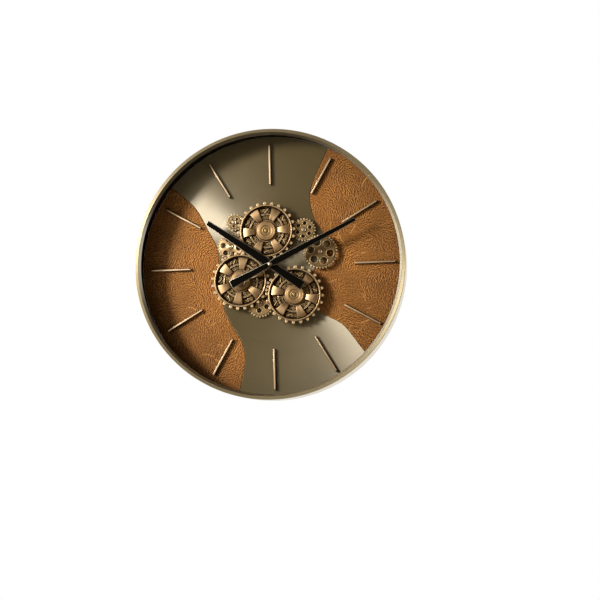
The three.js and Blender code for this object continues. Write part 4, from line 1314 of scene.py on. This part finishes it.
def set_stage(stage):
    """The camera, the lamps, the pale floor and the white surroundings."""
    scene = bpy.context.scene
    scene.view_settings.view_transform = "Standard"
    target = Vector(stage.target)
    ahead = stage.distance * math.cos(stage.elevation)
    place = target + Vector((
        ahead * math.sin(stage.azimuth), -ahead * math.cos(stage.azimuth),
        stage.distance * math.sin(stage.elevation)
    ))
    camera = bpy.data.cameras.new("camera")
    camera.lens = stage.lens
    camera.sensor_width = 36
    scene.camera = stand(bpy.data.objects.new("camera", camera), place, target, stage.roll)
    lamp("key_lamp", (-2.25, -2.21, 0.74), stage.key_size, stage.key_power)
    lamp("soft_lamp", (-2.0, -2.5, 0.9), 2.4, stage.soft_power)
    lamp("fill_lamp", (3.0, -0.7, 0.1), 2.0, stage.fill_power)
    lamp("side_lamp", (-2.6, -0.6, 1.0), 3.0, stage.side_power)
    lamp("back_lamp", (-1.2, 2.2, 1.6), 1.6, stage.back_power)
    set_surroundings(stage)
    floor = bpy.data.meshes.new("floor")
    ring = [(x, y, -stage.floor_drop) for x, y in circle(stage.floor_radius, sides=128)]
    floor.from_pydata(ring, [], [list(range(len(ring)))])
    floor.materials.append(finish("floor"))
    ground = bpy.data.objects.new("floor", floor)
    scene.collection.objects.link(ground)
    ground.visible_glossy = False


# Operators


class CLOCK_OT_case(bpy.types.Operator):
    """Make the hoop and its bezel"""

    bl_idname = "clock.case"
    bl_label = "Case"

    def execute(self, context):
        dress_case(context.scene.clock_sizes)
        return {"FINISHED"}


class CLOCK_OT_dial(bpy.types.Operator):
    """Make the brushed dial sheet"""

    bl_idname = "clock.dial"
    bl_label = "Dial sheet"

    def execute(self, context):
        dress_dial(context.scene.clock_sizes)
        return {"FINISHED"}


class CLOCK_OT_leather(bpy.types.Operator):
    """Make the two leather panels"""

    bl_idname = "clock.leather"
    bl_label = "Leather panels"

    def execute(self, context):
        sizes = context.scene.clock_sizes
        field, scuff = wrinkle_field(sizes.wrinkle_spacing)
        for side in ("left", "right"):
            dress_leather(side, sizes, field, scuff)
        return {"FINISHED"}


class CLOCK_OT_markers(bpy.types.Operator):
    """Make the twelve hour markers"""

    bl_idname = "clock.markers"
    bl_label = "Hour markers"

    def execute(self, context):
        dress_markers(context.scene.clock_sizes)
        return {"FINISHED"}


class CLOCK_OT_hands(bpy.types.Operator):
    """Make the hands, their nut and their shafts"""

    bl_idname = "clock.hands"
    bl_label = "Hands"

    def execute(self, context):
        dress_hands(context.scene.clock_sizes)
        return {"FINISHED"}


class CLOCK_OT_wheels(bpy.types.Operator):
    """Make the three large wheels, their caps, axles and drive wheels"""

    bl_idname = "clock.wheels"
    bl_label = "Large wheels"

    def execute(self, context):
        for side in WHEEL_SIDES:
            dress_wheel(side, context.scene.clock_sizes)
        dress_axles()
        for side in DRIVE_TEETH:
            dress_drive_wheel(side)
        return {"FINISHED"}


class CLOCK_OT_gears(bpy.types.Operator):
    """Make the five fine gears and their studs"""

    bl_idname = "clock.gears"
    bl_label = "Fine gears"

    def execute(self, context):
        for node in FINE_TEETH:
            dress_fine_gear(node, context.scene.clock_sizes)
        return {"FINISHED"}


class CLOCK_OT_back(bpy.types.Operator):
    """Make the back panel, hanger, cases, cells and setting knob"""

    bl_idname = "clock.back"
    bl_label = "Back"

    def execute(self, context):
        dress_back()
        return {"FINISHED"}


class CLOCK_OT_stage(bpy.types.Operator):
    """Set the camera, lamps and floor"""

    bl_idname = "clock.stage"
    bl_label = "Stage"

    def execute(self, context):
        set_stage(context.scene.clock_stage)
        return {"FINISHED"}


OPERATORS = (
    CLOCK_OT_case, CLOCK_OT_dial, CLOCK_OT_leather, CLOCK_OT_markers, CLOCK_OT_hands,
    CLOCK_OT_wheels, CLOCK_OT_gears, CLOCK_OT_back, CLOCK_OT_stage,
)


class CLOCK_PT_steps(bpy.types.Panel):
    """The steps that dress the clock, in order"""

    bl_label = "Clock"
    bl_space_type = "VIEW_3D"
    bl_region_type = "UI"
    bl_category = "Clock"

    def draw(self, context):
        for operator in OPERATORS:
            self.layout.operator(operator.bl_idname)


CLASSES = (ClockSizes, ClockColours, ClockStage, *OPERATORS, CLOCK_PT_steps)


def register():
    for kind in CLASSES:
        bpy.utils.register_class(kind)
    bpy.types.Scene.clock_sizes = PointerProperty(type=ClockSizes)
    bpy.types.Scene.clock_colours = PointerProperty(type=ClockColours)
    bpy.types.Scene.clock_stage = PointerProperty(type=ClockStage)


def unregister():
    del bpy.types.Scene.clock_stage
    del bpy.types.Scene.clock_colours
    del bpy.types.Scene.clock_sizes
    for kind in reversed(CLASSES):
        bpy.utils.unregister_class(kind)


def main():
    register()
    bpy.ops.clock.case()
    bpy.ops.clock.dial()
    bpy.ops.clock.leather()
    bpy.ops.clock.markers()
    bpy.ops.clock.hands()
    bpy.ops.clock.wheels()
    bpy.ops.clock.gears()
    bpy.ops.clock.back()
    bpy.ops.clock.stage()
    bpy.context.view_layer.update()


if __name__ == "__main__":
    main()
